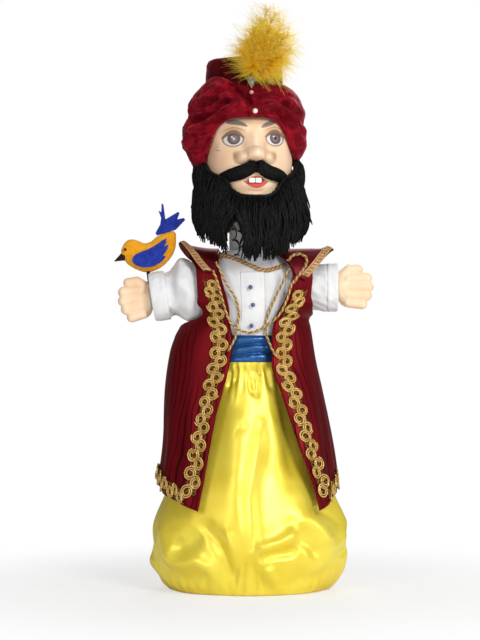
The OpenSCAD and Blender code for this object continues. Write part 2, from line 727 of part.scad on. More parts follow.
// Hand: four fingers side by side, half closed, with the thumb on top
finger_fn = 12;
finger_pitch = 9.4;
first_finger_z = 10.5;
finger_radii = [5.5, 5.7, 5.5, 4.9];
finger_reach = [76, 78.5, 77.5, 74];
palm_near = [59.2, 12.4];
palm_far = [63, 11];
module ball(p, r) translate(p) sphere(r = r, $fn = finger_fn);
module limb(a, ra, b, rb) hull() {
    ball(a, ra);
    ball(b, rb);
}
module palm() hull() {
    translate([wrist_at, 0, 0]) rotate([0, 90, 0]) cylinder(r = wrist_r, h = 4, $fn = 28);
    for (z = [5, -11]) ball([palm_near[0], 0, z], palm_near[1]);
    for (z = [6.5, -12.5]) ball([palm_far[0], 0, z], palm_far[1]);
}
module finger(f, curl) {
    r = finger_radii[f];
    z = first_finger_z - f * finger_pitch;
    knuckle = [finger_reach[f], 2 - 2 * curl, z];
    tip = [finger_reach[f] + 2 - 8 * curl, -5 - 2 * curl, z];
    limb([palm_far[0] - 2, 1, z], r, knuckle, r);
    limb(knuckle, r, tip, r - 0.6);
}
module thumb() {
    joint = [57, -6, 17];
    limb([52, -5, 8], 6.5, joint, 5.8);
    limb(joint, 5.8, [70, -5.5, 19], 4.7);
}
module hand(side, curl) {
    hole_r = socket_r + socket_t + 0.15;
    hole_end = socket_start + socket_l + 0.3;
    arm(side)
        difference() {
            union() {
                palm();
                for (f = [0:3]) finger(f, curl);
                thumb();
            }
            translate([socket_start, 0, 0])
                rotate([0, 90, 0])
                    cylinder(r = hole_r, h = hole_end - socket_start, $fn = 36);
        }
}

module left_upper_sleeve() color(white) upper_sleeve(left);
module right_upper_sleeve() color(white) upper_sleeve(right);
module left_sleeve() color(white) lower_sleeve(left);
module right_sleeve() color(white) lower_sleeve(right);
module left_cuff() color(white) cuff(left);
module right_cuff() color(white) cuff(right);
module left_socket() color(card) socket(left);
module right_socket() color(card) socket(right);
module left_hand() color(skin) hand(left, 1);
module right_hand() color(skin) hand(right, 0.2);

// Neck: the cloth neck of the glove and the cord that ties it
neck_r = 18;
band_r = neck_r + 0.6;
band_t = 1.6;
band_foot = 349;
band_top = 385.5;
tie_r = 1.3;
module neck_band() color(white)
    rotate_extrude()
        polygon([
            [band_r, band_foot], [band_r + band_t, band_foot], [band_r + band_t, band_top - 1.5],
            [band_r + 1, band_top], [band_r, band_top]
        ]);
module neck_tie() color(cream)
    translate([0, 0, 376])
        rotate_extrude()
            translate([band_r + band_t + tie_r + 0.05, 0])
                circle(r = tie_r, $fn = 24);
neck_tube_from = 346;
neck_tube_l = 76;
module neck_tube() color(card)
    translate([0, 0, neck_tube_from])
        difference() {
            cylinder(r = finger_r + neck_tube_t, h = neck_tube_l);
            translate([0, 0, -1])
                cylinder(r = finger_r, h = neck_tube_l - 1);
        }

// Head: half width, front depth and back depth by height, then soft swellings of the face
head_size = [
    [356, [18, 18, 18]], [390, [18, 18, 18]], [397, [24, 28, 22]], [403, [31, 37, 28]],
    [412, [38, 43, 34]], [428, [44, 46, 41]], [450, [46, 47, 46]], [466, [45, 47, 46]],
    [485, [43, 45, 43]], [500, [34, 33, 33]], [508, [18, 18, 18]]
];
head_levels = [
    356, 374, 390, 396, 401, 406, 411, 416, 420, 424, 428, 432, 437, 442, 447, 451, 455, 459, 464, 468,
    472, 476, 481, 486, 493, 501, 508
];
// Each swelling has its side place, height, rise, and spread sideways and upward
face_forms = [
    [0, 454, 16, 10, 9], [0, 468, 6, 6.5, 11], [0, 433, 5, 17, 10], [0, 427, -3, 10, 3],
    [0, 421, 3, 11, 3.5], [0, 409, 4, 12, 7]
];
paired_forms = [
    [11.5, 451.5, 8, 6.5, 6], [27, 446, 5, 13, 13], [18, 483, 3.5, 13, 4.5],
    [21.3, 471, -3.5, 10, 7.5], [21.3, 470.5, 3.2, 7.5, 5.5]
];
function form(f, x, z) = f[2] * bell(x - f[0], f[3]) * bell(z - f[1], f[4]);
function face_swell(x, z) =
    [for (f = face_forms) 1] * [for (f = face_forms) form(f, x, z)]
    + [for (f = paired_forms) 1] * [for (f = paired_forms) form(f, abs(x), z)];
function head_at(a, z) =
    let (s = curve(z, head_size), x = s[0] * sin(a), front = cos(a) > 0)
    [x, front ? -s[1] * cos(a) - face_swell(x, z) * min(1, 3 * cos(a)) : -s[2] * cos(a), z];
function face_y(x, z) = head_at(asin(x / curve(z, head_size)[0]), z)[1];
function head_radius(a, z) =
    let (s = curve(z, head_size), d = cos(a) > 0 ? s[1] : s[2])
    1 / sqrt((sin(a) / s[0])^2 + (cos(a) / d)^2);
head_around = 40;
// Points stand closer together on the face than behind
function head_angle(j) = let (s = 2 * j / head_around - 1) 180 * sign(s) * abs(s)^1.5;

// Hollow of the cast head, as radius and height
head_hollow = [[0, 420], [22, 424], [33, 440], [36, 456], [33, 476], [22, 492], [0, 496]];

module head() color(skin)
    rotate([0, 0, face_turn])
        difference() {
            loft([for (z = head_levels) [for (j = [0:head_around - 1]) head_at(head_angle(j), z)]]);
            translate([0, 0, neck_tube_from])
                cylinder(r = finger_r + neck_tube_t + 0.1, h = neck_tube_l + 0.2);
            rotate_extrude() polygon(head_hollow);
        }

tooth = [6.4, 1.6, 5];
tooth_pitch = 6.8;
teeth_z = 424.5;
module teeth() color(white)
    rotate([0, 0, face_turn])
        for (side = [-0.5, 0.5])
            translate([side * tooth_pitch - tooth[0] / 2, face_y(7, 427) - 3.7, teeth_z])
                cube(tooth);

// Moustache: a soft arch that lies on the lip
moustache_half_w = 35;
module moustache() {
    function spine(s) = 441.5 - 12 * s^2 + 2 * cos(360 * s);
    function half_h(s) = 6.6 * (1 - 0.72 * abs(s)^3) - 1.4 * bell(s, 0.1);
    back = [for (t = steps(6)) [for (i = steps(16))
        let (
            s = 1 - 2 * i,
            x = moustache_half_w * s,
            z = spine(s) + (1 - 2 * t) * half_h(s)
        )
        [x, face_y(x, z) - 1.2, z]]];
    front = [for (t = [0:6]) [for (i = [0:16])
        back[t][i] - [0, 1.4 + 5.5 * sin(30 * t) * sqrt(sin(11.25 * i)), 0]]];
    color(black)
        rotate([0, 0, face_turn])
            pad(back, front);
}

// Beard: hangs round the jaw from under the lip, with its sides up to the turban
beard_top = [[0, 413], [20, 417], [35, 425], [50, 433], [65, 436], [100, 436]];
beard_foot = [[0, 344], [25, 351], [45, 368], [65, 376], [85, 386], [100, 393]];
beard_reach = 100;
module beard() {
    function chin_swell(a, z) = 4 * bell(a, 40) * bell(z - 408, 22);
    function hang_r(a, z) = z < 420 ? mix(46, 47, bell(a, 40)) : 0;
    function back_r(a, z) = max(head_radius(a, max(z, 408)) + 2.2 + chin_swell(a, z), hang_r(a, z));
    function fullness(t) = sin(180 * min(1, 0.12 + 0.9 * t))^0.7;
    function thick(a, t) = 2 + beard_t * (0.55 + 0.45 * bell(a, 70)) * fullness(t);
    place = [for (t = steps(10)) [for (i = steps(24))
        let (a = beard_reach * (1 - 2 * i))
        [a, mix(curve(abs(a), beard_top), curve(abs(a), beard_foot), t), t]]];
    function layer(out) = [for (row = place) [for (p = row)
        let (r = back_r(p[0], p[1]) + out * thick(p[0], p[2]))
        [r * sin(p[0]), -r * cos(p[0]), p[1]]]];
    color(black)
        rotate([0, 0, face_turn])
            pad(layer(0), layer(1));
}

// Hair behind the ears, below the turban
module hair() {
    place = [for (t = steps(4)) [for (i = steps(12)) [mix(103, 257, i), mix(436, 396, t), t]]];
    function thick(t) = 2 + 6 * sin(180 * (0.15 + 0.7 * t));
    function layer(out) = [for (row = place) [for (p = row)
        let (r = max(head_radius(p[0], max(p[1], 418)), 40) + 2 + out * thick(p[2]))
        [-r * sin(p[0]), -r * cos(p[0]), p[1]]]];
    color(black)
        rotate([0, 0, face_turn])
            pad(layer(0), layer(1));
}

// Turban: the stiff velvet crown and the wound velvet wrap round it
crown_x = -4.5;
crown_from = 509;
module turban_crown() color(maroon)
    translate([crown_x, 0, 0])
        rotate_extrude()
            polygon([
                [crown_r - 2.5, crown_from], [crown_r, crown_from], [crown_r - 1, crown_top - 9],
                [crown_r - 2.5, crown_top - 3.5], [crown_r - 7, crown_top - 0.5], [0, crown_top + 0.5],
                [0, crown_top - 2], [crown_r - 7.5, crown_top - 3.5], [crown_r - 3.5, crown_top - 9]
            ]);

wrap_foot = [
    [-180, 440], [-130, 440], [-95, 440], [-72, 443], [-55, 466], [-35, 487], [0, 492],
    [35, 489], [55, 472], [72, 456], [95, 451], [130, 444], [180, 440]
];
// Swell of the wrap round the head, as a share of its swell at the front
wrap_swell = [
    [-180, 1.08], [-120, 1.31], [-80, 1.69], [-50, 1.46], [-20, 1.08], [0, 1], [40, 1.08], [80, 1.23],
    [130, 1.15], [180, 1.08]
];
wrap_head = 524;
wrap_around = 36;
wrap_section = 12;
wrap_turns = 4;
ridge_h = 2.4;
wrap_lean = 2;
module turban_wrap() {
    function over_crown(z) = z > 494 ? crown_r + 3 : 0;
    function inner_r(a, z) = max(head_radius(a - face_turn, min(z, 488)) + 2.2, over_crown(z));
    // Ridges of the wound cloth climb round the head
    function ridge(a, t) = ridge_h * cos(360 * wrap_turns * t + a + 40 * sin(2 * a)) * sin(180 * t);
    function bulge(a, t) = wrap_t * curve(a, wrap_swell) * sqrt(sin(180 * (0.03 + 0.94 * t)));
    function wrap_at(a, t, out) =
        let (
            z = mix(curve(a, wrap_foot), wrap_head, t),
            r = inner_r(a, z) + out * (bulge(a, t) + ridge(a, t))
        )
        [r * sin(a) - wrap_lean * t, -r * cos(a), z];
    color(velvet) ring([for (i = [0:wrap_around - 1])
        let (a = 180 - i * 360 / wrap_around)
        concat(
            [for (t = steps(wrap_section)) wrap_at(a, t, 1)],
            [for (t = [1, 0.66, 0.33, 0]) wrap_at(a, t, 0)]
        )]);
}

// Plume: height, then side place, half width, half depth and place in depth
plume_form = [
    [527, [2, 2, 1.4, -43.2]], [533, [3, 4, 1.6, -43.4]], [538, [5, 9, 2, -43.8]], [544, [7, 18, 4.5, -46]],
    [552, [10, 25, 8, -49.5]], [562, [14, 29, 12, -50]], [575, [17, 25, 14, -49]], [588, [20, 16, 11, -48]],
    [plume_top - 6, [21, 8, 6, -47]], [plume_top, [22, 2, 2, -46.5]]
];
plume_foot = plume_form[0][0];
plume_around = 14;
module plume() color(orange)
    loft([for (t = steps(13))
        let (z = mix(plume_foot, plume_top, t), p = curve(z, plume_form))
        [for (j = [0:plume_around - 1])
            let (a = j * 360 / plume_around)
            [p[0] + p[1] * sin(a), p[3] - p[2] * cos(a), z]]]);
quill_l = 17;
module plume_quill() color(cream)
    translate([2, -42.4, plume_foot - quill_l])
        cylinder(r = 0.9, h = quill_l);

// Brooch: a three-cornered stone in a thin setting, with a drop below it
brooch_at = [3, -50.3, 528];
brooch_lean = 20;
brooch_w = 15;
brooch_h = 16;
function brooch_outline(shrink) = [
    [-brooch_w / 2 + 1.7 * shrink, brooch_h / 2 - shrink],
    [brooch_w / 2 - 1.7 * shrink, brooch_h / 2 - shrink],
    [0, -brooch_h / 2 + 2 * shrink]
];
module on_brooch() translate(brooch_at) rotate([90 - brooch_lean, 0, 0]) children();
module brooch_setting() color(silver)
    on_brooch()
        difference() {
            linear_extrude(2.2) polygon(brooch_outline(0));
            translate([0, 0, 0.8]) linear_extrude(2) polygon(brooch_outline(1.2));
        }
module brooch_stone() color([0.55, 0.60, 0.55])
    on_brooch()
        translate([0, 0, 0.85]) linear_extrude(2.4) polygon(brooch_outline(1.35));
module brooch_drop() color([0.80, 0.60, 0.55])
    translate([3, -60.3, 516.5]) sphere(r = 2.1);
module turban_pearl() color(white)
    translate([6.8, -59.8, 497.5]) sphere(r = 2.7);
module turban_bead() color(gold)
    translate([-5.7, -41.9, 535.6]) sphere(r = 1.5);

// Bird: outline of the stuffed body, from the breast to the tail
bird_top = [
    [-134, 357], [-131, 363], [-126, 367], [-119, 367], [-110, 363.5], [-103, 365], [-97, 370],
    [-88, 374], [-79, 376], [-76, 373]
];
bird_foot = [
    [-134, 352], [-131, 347], [-127, 342], [-119, 337], [-107, 333.5], [-97, 336], [-89, 341],
    [-81, 350], [-77, 359], [-76, 367]
];
bird_levels = [-134, -132, -128, -123, -117, -110, -103, -96, -89, -83, -79, -76.5];
bird_middle = -106;
bird_half_l = 30.5;
function bird_t(x) = max(bird_half_t * sqrt(max(0, 1 - ((x - bird_middle) / bird_half_l)^2)), 2);
module bird_body() color(orange)
    loft([for (x = bird_levels)
        let (top = curve(x, bird_top), foot = curve(x, bird_foot))
        [for (j = [0:11])
            let (a = 30 * j)
            [x, bird_t(x) * cos(a), (top + foot) / 2 + (top - foot) / 2 * sin(a)]]]);
wing_outline = [
    [-121, 346], [-119, 350], [-112, 354], [-100, 359], [-86, 369], [-87, 362], [-84, 362.5], [-88, 356],
    [-86, 350], [-92, 345], [-100, 340.5], [-108, 339], [-116, 340.5]
];
module felt(outline, y, t)
    translate([0, y + t, 0]) rotate([90, 0, 0]) linear_extrude(t) polygon(outline);
module bird_wings() color(felt_blue) {
    felt(wing_outline, -bird_half_t - 0.3 - felt_t, felt_t);
    felt(wing_outline, bird_half_t + 0.3, felt_t);
}
tail_t = 3;
tail_outline = [
    [-96.5, 371.8], [-76.5, 378], [-75.5, 379], [-66.5, 388.5], [-68, 390.5], [-75, 389], [-72.5, 395.5],
    [-74, 397], [-87.5, 389], [-89.5, 404.5], [-91.5, 406], [-91.8, 396.5], [-95, 398.5], [-92, 390.5],
    [-93, 383.5], [-98, 374.5]
];
module bird_tail() color(felt_blue)
    felt(tail_outline, -tail_t / 2, tail_t);
module bird_beak() color(maroon)
    translate([-135.1, 0, 351.8])
        rotate([0, -135, 0])
            cylinder(r1 = 3.6, r2 = 0.4, h = 9);
module bird_eyes() color(maroon)
    for (side = sides)
        translate([-129.5, side * (bird_t(-129.5) + 1.7), 357]) sphere(r = 1.6);
module bird_leg() color(black)
    felt([[-107.5, 334], [-103.4, 334], [-103.6, 321], [-105.5, 318.8]], -4, 3);

// Draws the chosen node, or all of them
skirt_satin();
skirt_lining();
hem_band();
sash();
coat_left_skirt();
coat_right_skirt();
coat_back_skirt();
left_braid_skirt();
right_braid_skirt();
left_hem_braid();
right_hem_braid();
left_cord_end();
right_cord_end();
shirt_body();
shirt_placket();
shirt_buttons();
neckline_braid();
coat_left_front();
coat_right_front();
coat_back();
left_braid();
right_braid();
collar();
collar_braid();
left_cord();
right_cord();
swag_cord();
left_upper_sleeve();
right_upper_sleeve();
neck_band();
neck_tie();
head();
neck_tube();
teeth();
moustache();
beard();
hair();
turban_crown();
turban_wrap();
plume();
plume_quill();
brooch_setting();
brooch_stone();
brooch_drop();
turban_pearl();
turban_bead();
left_sleeve();
left_cuff();
left_hand();
left_socket();
right_sleeve();
right_cuff();
right_hand();
right_socket();
bird_body();
bird_wings();
bird_tail();
bird_beak();
bird_eyes();
bird_leg();
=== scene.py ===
# Dressed model of a glove puppet: a turbaned, bearded man with a stuffed bird on one hand.
# Shapes are worked out in millimetres in the part's own frame, and turned to metres when a piece is made.
import math
import random

import bmesh
import bpy
import numpy as np
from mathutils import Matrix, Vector


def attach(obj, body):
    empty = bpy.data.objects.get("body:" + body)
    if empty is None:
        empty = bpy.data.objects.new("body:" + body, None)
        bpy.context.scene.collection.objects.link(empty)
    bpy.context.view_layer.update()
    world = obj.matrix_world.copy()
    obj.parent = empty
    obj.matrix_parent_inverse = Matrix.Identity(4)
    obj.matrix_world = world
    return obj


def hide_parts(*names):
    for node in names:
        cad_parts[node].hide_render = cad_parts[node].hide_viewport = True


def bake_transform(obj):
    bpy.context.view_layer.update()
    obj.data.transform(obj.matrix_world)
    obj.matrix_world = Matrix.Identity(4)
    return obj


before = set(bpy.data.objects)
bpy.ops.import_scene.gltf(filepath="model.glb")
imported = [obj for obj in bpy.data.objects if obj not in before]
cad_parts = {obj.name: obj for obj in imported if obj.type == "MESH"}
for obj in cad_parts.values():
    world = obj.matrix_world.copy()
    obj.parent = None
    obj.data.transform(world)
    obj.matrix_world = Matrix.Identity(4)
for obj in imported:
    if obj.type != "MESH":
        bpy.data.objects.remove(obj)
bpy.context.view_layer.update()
chance = random.Random(41)
MM = 0.001

# A distance further than any on the puppet
FAR_OFF = 1e9

# The photograph's size and scale, and the pixel that lies over the middle of the floor
PHOTO_W, PHOTO_H = 480, 640
PHOTO_MM = 1.04
PHOTO_X = 248.5
PHOTO_Y = 592

PUPPET_MIDDLE = (0, 0, 0.30)


# Camera, lights and floor

def make_camera():
    distance = 2.2
    front_y = -0.03
    data = bpy.data.cameras.new("Camera")
    data.sensor_width = 36
    data.lens = data.sensor_width * distance / (PHOTO_H * PHOTO_MM * MM)
    camera = in_scene("Camera", data)
    x, z = photo_xz((PHOTO_W / 2, PHOTO_H / 2)) * MM
    camera.location = (x, front_y - distance, z)
    camera.rotation_euler = (math.pi / 2, 0, 0)
    bpy.context.scene.camera = camera


def area_light(name, place, size, power):
    data = bpy.data.lights.new(name, "AREA")
    data.shape = "RECTANGLE"
    data.size, data.size_y = size
    data.energy = power
    lamp = in_scene(name, data)
    lamp.location = place
    lamp.rotation_euler = (Vector(PUPPET_MIDDLE) - Vector(place)).to_track_quat("-Z", "Y").to_euler()


def make_lights():
    """Lamps turned to the middle of the puppet: name, place, size and power."""
    area_light("Key", (0.80, -1.60, 1.05), (0.55, 0.65), 21.5)
    area_light("Fill", (-1.0, -1.65, 0.75), (0.5, 0.9), 7)
    area_light("Side", (1.7, -0.85, 0.45), (0.5, 1.0), 8)
    area_light("Low", (-0.25, -1.8, 0.15), (0.5, 0.25), 3)
    area_light("Top", (0, 0.1, 1.6), (0.7, 0.5), 4)
    area_light("Back", (0.3, 1.6, 0.9), (1.0, 0.8), 8)


def seen_plainly(paint, strength_seen, strength_other):
    """Strength that a background has for the eye and through glass, and another for its light."""
    path = paint.node("ShaderNodeLightPath")
    seen = paint.math("MAXIMUM", path.outputs["Is Camera Ray"], path.outputs["Is Transmission Ray"])
    return paint.math("MULTIPLY_ADD", seen, strength_seen - strength_other, strength_other)


def make_world():
    world = bpy.data.worlds.new("Studio")
    bpy.context.scene.world = world
    world.use_nodes = True
    paint = Paint(world.node_tree)
    background = world.node_tree.nodes["Background"]
    background.inputs["Color"].default_value = WHITE
    paint.link(seen_plainly(paint, 1.0, 0.24), background.inputs["Strength"])


def make_floor():
    """Round pale floor that keeps the shadow near the puppet and fades to plain white further off."""
    work = bmesh.new()
    bmesh.ops.create_circle(work, cap_ends=True, segments=96, radius=1.1)
    material, paint, shader = surface("pale floor", roughness=0.9)
    place = paint.solid_place()
    grain = paint.noise(place, 240.0)
    shade = paint.ramp(grain, [(0.3, (0.88, 0.88, 0.88)), (0.7, (0.92, 0.92, 0.92))])
    paint.link(shade, shader["Base Color"])
    away = paint.node("ShaderNodeVectorMath", {0: place}, operation="LENGTH").outputs["Value"]
    plain = paint.math("MULTIPLY_ADD", paint.grey_ramp(away, 0.16, 0.50), 0.42, 0.58)
    plain = paint.math("MULTIPLY", plain, seen_plainly(paint, 1.0, 0.0))
    white = paint.node("ShaderNodeEmission", {"Color": WHITE, "Strength": 1.0})
    nodes = material.node_tree.nodes
    lit = nodes["Principled BSDF"].outputs[0]
    both = paint.node("ShaderNodeMixShader", {0: plain, 1: lit, 2: white.outputs[0]})
    paint.link(both.outputs[0], nodes["Material Output"].inputs["Surface"])
    floor = worked_object("floor", work, material, False)
    floor.location = (0, 0, -0.4 * MM)


# Words for building materials and shader groups

SOCKET_NAMES = {"specular": "Specular IOR Level"}
TINTS = ("specular_tint", "sheen_tint")
WHITE = (1, 1, 1, 1)
BLACK = (0, 0, 0, 1)


class Paint:
    """Short words for adding nodes to one material or group."""

    def __init__(self, tree):
        self.tree = tree

    def link(self, source, target):
        self.tree.links.new(source, target)

    def node(self, kind, values=None, **settings):
        made = self.tree.nodes.new(kind)
        for key, value in settings.items():
            setattr(made, key, value)
        for socket, value in (values or {}).items():
            if isinstance(value, bpy.types.NodeSocket):
                self.link(value, made.inputs[socket])
            else:
                made.inputs[socket].default_value = value
        return made

    def math(self, operation, a, b=0.0, c=0.0, clamp=False):
        made = self.node("ShaderNodeMath", {0: a, 1: b, 2: c}, operation=operation, use_clamp=clamp)
        return made.outputs[0]

    def mix(self, factor, a, b):
        """Colour a where factor is 0 and colour b where it is 1."""
        values = {0: factor, 6: a, 7: b}
        for key in (6, 7):
            if isinstance(values[key], tuple):
                values[key] = (*values[key], 1)[:4]
        return self.node("ShaderNodeMix", values, data_type="RGBA").outputs[2]

    def ramp(self, factor, stops):
        made = self.node("ShaderNodeValToRGB", {"Fac": factor})
        band = made.color_ramp
        while len(band.elements) < len(stops):
            band.elements.new(0.5)
        for element, (place, colour) in zip(band.elements, stops):
            element.position = place
            element.color = (*colour, 1)
        return made.outputs["Color"]

    def grey_ramp(self, factor, low, high):
        """0 below low and 1 above high, smooth between."""
        made = self.node(
            "ShaderNodeMapRange", {"Value": factor, "From Min": low, "From Max": high},
            interpolation_type="SMOOTHSTEP")
        return made.outputs["Result"]

    def scaled(self, vector, x, y, z=1.0):
        made = self.node("ShaderNodeMapping", {"Vector": vector, "Scale": (x, y, z)})
        return made.outputs["Vector"]

    def noise(self, vector, scale, detail=3.0, roughness=0.5, distortion=0.0):
        values = {
            "Vector": vector, "Scale": scale, "Detail": detail,
            "Roughness": roughness, "Distortion": distortion,
        }
        return self.node("ShaderNodeTexNoise", values).outputs["Fac"]

    def parts(self, place):
        """The X, Y and Z of a place."""
        return self.node("ShaderNodeSeparateXYZ", {"Vector": place}).outputs

    def cloth_place(self):
        return self.node("ShaderNodeUVMap", uv_map="Cloth").outputs["UV"]

    def solid_place(self):
        return self.node("ShaderNodeTexCoord").outputs["Object"]

    def bump(self, height, strength, distance_mm, under=None):
        values = {"Height": height, "Strength": strength, "Distance": distance_mm * MM}
        if under is not None:
            values["Normal"] = under
        return self.node("ShaderNodeBump", values).outputs["Normal"]

    def use(self, group, values):
        return self.node("ShaderNodeGroup", values, node_tree=group)


def surface(name, **constants):
    """A new material, the words to build it and its shader, whose named sockets take constant values."""
    material = bpy.data.materials.new(name)
    material.use_nodes = True
    shader = material.node_tree.nodes["Principled BSDF"]
    for socket, value in constants.items():
        label = SOCKET_NAMES.get(socket, socket.replace("_", " ").title())
        shader.inputs[label].default_value = (*value, 1)[:4] if socket in TINTS else value
    return material, Paint(material.node_tree), shader.inputs


def new_group(name, inputs, outputs):
    """A shader group that is given a Place and other inputs, as a dictionary of their default values."""
    tree = bpy.data.node_groups.new(name, "ShaderNodeTree")

    def socket(label, way, kind):
        return tree.interface.new_socket(label, in_out=way, socket_type="NodeSocket" + kind)

    socket("Place", "INPUT", "Vector")
    for label, default in inputs.items():
        socket(label, "INPUT", "Color" if isinstance(default, tuple) else "Float").default_value = default
    for label in outputs:
        socket(label, "OUTPUT", "Color" if label == "Color" else "Float")
    paint = Paint(tree)
    return tree, paint, paint.node("NodeGroupInput").outputs, paint.node("NodeGroupOutput").inputs


def make_weave_group():
    """Over and under of a plain weave."""
    tree, paint, given, result = new_group(
        "plain weave", {"Threads": 1500.0}, ["Height"])
    parts = paint.parts(given["Place"])
    turns = paint.math("MULTIPLY", given["Threads"], math.pi)
    waves = [paint.math("SINE", paint.math("MULTIPLY", parts[axis], turns)) for axis in ("X", "Y")]
    both = paint.math("MULTIPLY", waves[0], waves[1])
    paint.link(paint.math("MULTIPLY_ADD", both, 0.5, 0.5), result["Height"])
    return tree


def make_tone_group():
    """Uneven depth of colour over a cloth or paint."""
    tree, paint, given, result = new_group(
        "uneven tone", {"Scale": 30.0, "Light": WHITE, "Dark": BLACK}, ["Color"])
    cloud = paint.noise(given["Place"], given["Scale"], 4.0, 0.55)
    mask = paint.grey_ramp(cloud, 0.36, 0.66)
    paint.link(paint.mix(mask, given["Dark"], given["Light"]), result["Color"])
    return tree


def make_pile_group():
    """Crushed patches and short fibres of a pile cloth or felt."""
    tree, paint, given, result = new_group(
        "pile", {"Patch": 90.0, "Fibre": 2600.0}, ["Crush", "Height"])
    patch = paint.noise(given["Place"], given["Patch"], 5.0, 0.62, 0.6)
    fibre = paint.noise(given["Place"], given["Fibre"], 2.0)
    crush = paint.grey_ramp(patch, 0.38, 0.64)
    paint.link(crush, result["Crush"])
    paint.link(paint.math("MULTIPLY_ADD", crush, 0.6, paint.math("MULTIPLY", fibre, 0.4)), result["Height"])
    return tree


def make_twist_group():
    """Plies that wind round a thread or yarn. Place runs round the thread in X and along it in Y."""
    tree, paint, given, result = new_group(
        "thread twist", {"Plies": 3.0, "Turns": 300.0}, ["Height"])
    parts = paint.parts(given["Place"])
    around = paint.math("MULTIPLY", parts["X"], given["Plies"])
    turn = paint.math("MULTIPLY_ADD", parts["Y"], given["Turns"], around)
    wave = paint.math("SINE", paint.math("MULTIPLY", turn, 2 * math.pi))
    paint.link(paint.math("MULTIPLY_ADD", wave, 0.5, 0.5), result["Height"])
    return tree


def make_spot_group():
    """A painted oval with a soft edge."""
    tree, paint, given, result = new_group(
        "painted spot",
        {"Across": 0.0, "Up": 0.0, "Half Width": 1.0, "Half Height": 1.0, "Softness": 0.1}, ["Mask"])
    parts = paint.parts(given["Place"])
    across = paint.math("DIVIDE", paint.math("SUBTRACT", parts["X"], given["Across"]), given["Half Width"])
    up = paint.math("DIVIDE", paint.math("SUBTRACT", parts["Y"], given["Up"]), given["Half Height"])
    reach = paint.math("SQRT", paint.math("MULTIPLY_ADD", across, across, paint.math("MULTIPLY", up, up)))
    inside = paint.math("DIVIDE", paint.math("SUBTRACT", 1.0, reach), given["Softness"], clamp=True)
    paint.link(inside, result["Mask"])
    return tree


def make_stroke_group():
    """A painted stroke on an arc, thick in the middle. Tilt is its rise from one end to the other."""
    tree, paint, given, result = new_group(
        "painted stroke",
        {"Across": 0.0, "Up": 0.0, "Half Width": 1.0, "Rise": 0.0, "Tilt": 0.0, "Half Thickness": 1.0,
         "Softness": 0.3}, ["Mask"])
    parts = paint.parts(given["Place"])
    t = paint.math("DIVIDE", paint.math("SUBTRACT", parts["X"], given["Across"]), given["Half Width"])
    square = paint.math("MULTIPLY", t, t)
    line = paint.math("MULTIPLY_ADD", square, given["Rise"], given["Up"])
    line = paint.math("MULTIPLY_ADD", t, given["Tilt"], line)
    away = paint.math("ABSOLUTE", paint.math("SUBTRACT", parts["Y"], line))
    width = paint.math("SQRT", paint.math("SUBTRACT", 1.0, square, clamp=True))
    room = paint.math("SUBTRACT", paint.math("MULTIPLY", width, given["Half Thickness"]), away)
    paint.link(paint.math("DIVIDE", room, given["Softness"], clamp=True), result["Mask"])
    return tree


WEAVE = make_weave_group()
TONE = make_tone_group()
PILE = make_pile_group()
TWIST = make_twist_group()
SPOT = make_spot_group()
STROKE = make_stroke_group()


# Cloth and thread materials

def uneven(paint, place, scale, light, dark):
    """A colour that drifts between a light and a dark one."""
    values = {"Place": place, "Scale": scale, "Light": (*light, 1), "Dark": (*dark, 1)}
    return paint.use(TONE, values).outputs["Color"]


def satin(name, light, dark, roughness, metallic, glint):
    """Smooth cloth whose threads reflect partly in their own colour, and in the colour of their glint."""
    material, paint, shader = surface(
        name, metallic=metallic, specular=0.8, specular_tint=glint, anisotropic=0.4)
    place = paint.cloth_place()
    weave = paint.use(WEAVE, {"Place": place, "Threads": 2600.0}).outputs["Height"]
    slub = paint.noise(paint.scaled(place, 900.0, 40.0), 1.0, 2.0)
    paint.link(uneven(paint, place, 22.0, light, dark), shader["Base Color"])
    paint.link(paint.math("MULTIPLY_ADD", slub, 0.10, roughness - 0.05), shader["Roughness"])
    height = paint.math("MULTIPLY_ADD", slub, 0.5, paint.math("MULTIPLY", weave, 0.5))
    paint.link(paint.bump(height, 0.25, 0.08), shader["Normal"])
    return material


def moire_satin(name, light, dark):
    """Satin pressed with wavy, nearly upright water marks."""
    material, paint, shader = surface(
        name, metallic=0.36, specular=0.2, specular_tint=(1.0, 0.15, 0.18), anisotropic=0.4)
    place = paint.cloth_place()
    drift = paint.noise(paint.scaled(place, 14.0, 5.0), 1.0, 3.0)
    parts = paint.parts(place)
    lines = paint.math("MULTIPLY_ADD", drift, 30.0, paint.math("MULTIPLY", parts["X"], 620.0))
    wave = paint.math("SINE", paint.math("MULTIPLY", lines, 2.1))
    breaks = paint.noise(paint.scaled(place, 55.0, 9.0), 1.0, 4.0)
    mark = paint.math("MULTIPLY", paint.grey_ramp(wave, 0.45, 0.95), paint.grey_ramp(breaks, 0.34, 0.56))
    ribs = paint.math("SINE", paint.math("MULTIPLY", parts["Y"], 5200.0))
    paint.link(paint.mix(paint.math("MULTIPLY", mark, 0.85), light, dark), shader["Base Color"])
    paint.link(paint.math("MULTIPLY_ADD", mark, 0.14, 0.34), shader["Roughness"])
    height = paint.math("MULTIPLY_ADD", ribs, 0.15, paint.math("MULTIPLY", mark, 0.6))
    paint.link(paint.bump(height, 0.35, 0.15), shader["Normal"])
    return material


def cotton(name, light, dark):
    material, paint, shader = surface(name, roughness=0.82, specular=0.2, sheen_weight=0.1)
    place = paint.cloth_place()
    weave = paint.use(WEAVE, {"Place": place, "Threads": 1500.0}).outputs["Height"]
    crease = paint.noise(paint.scaled(place, 60.0, 25.0), 1.0, 4.0, 0.6, 0.8)
    paint.link(uneven(paint, place, 35.0, light, dark), shader["Base Color"])
    fine = paint.bump(weave, 0.3, 0.12)
    paint.link(paint.bump(crease, 0.25, 1.2, fine), shader["Normal"])
    return material


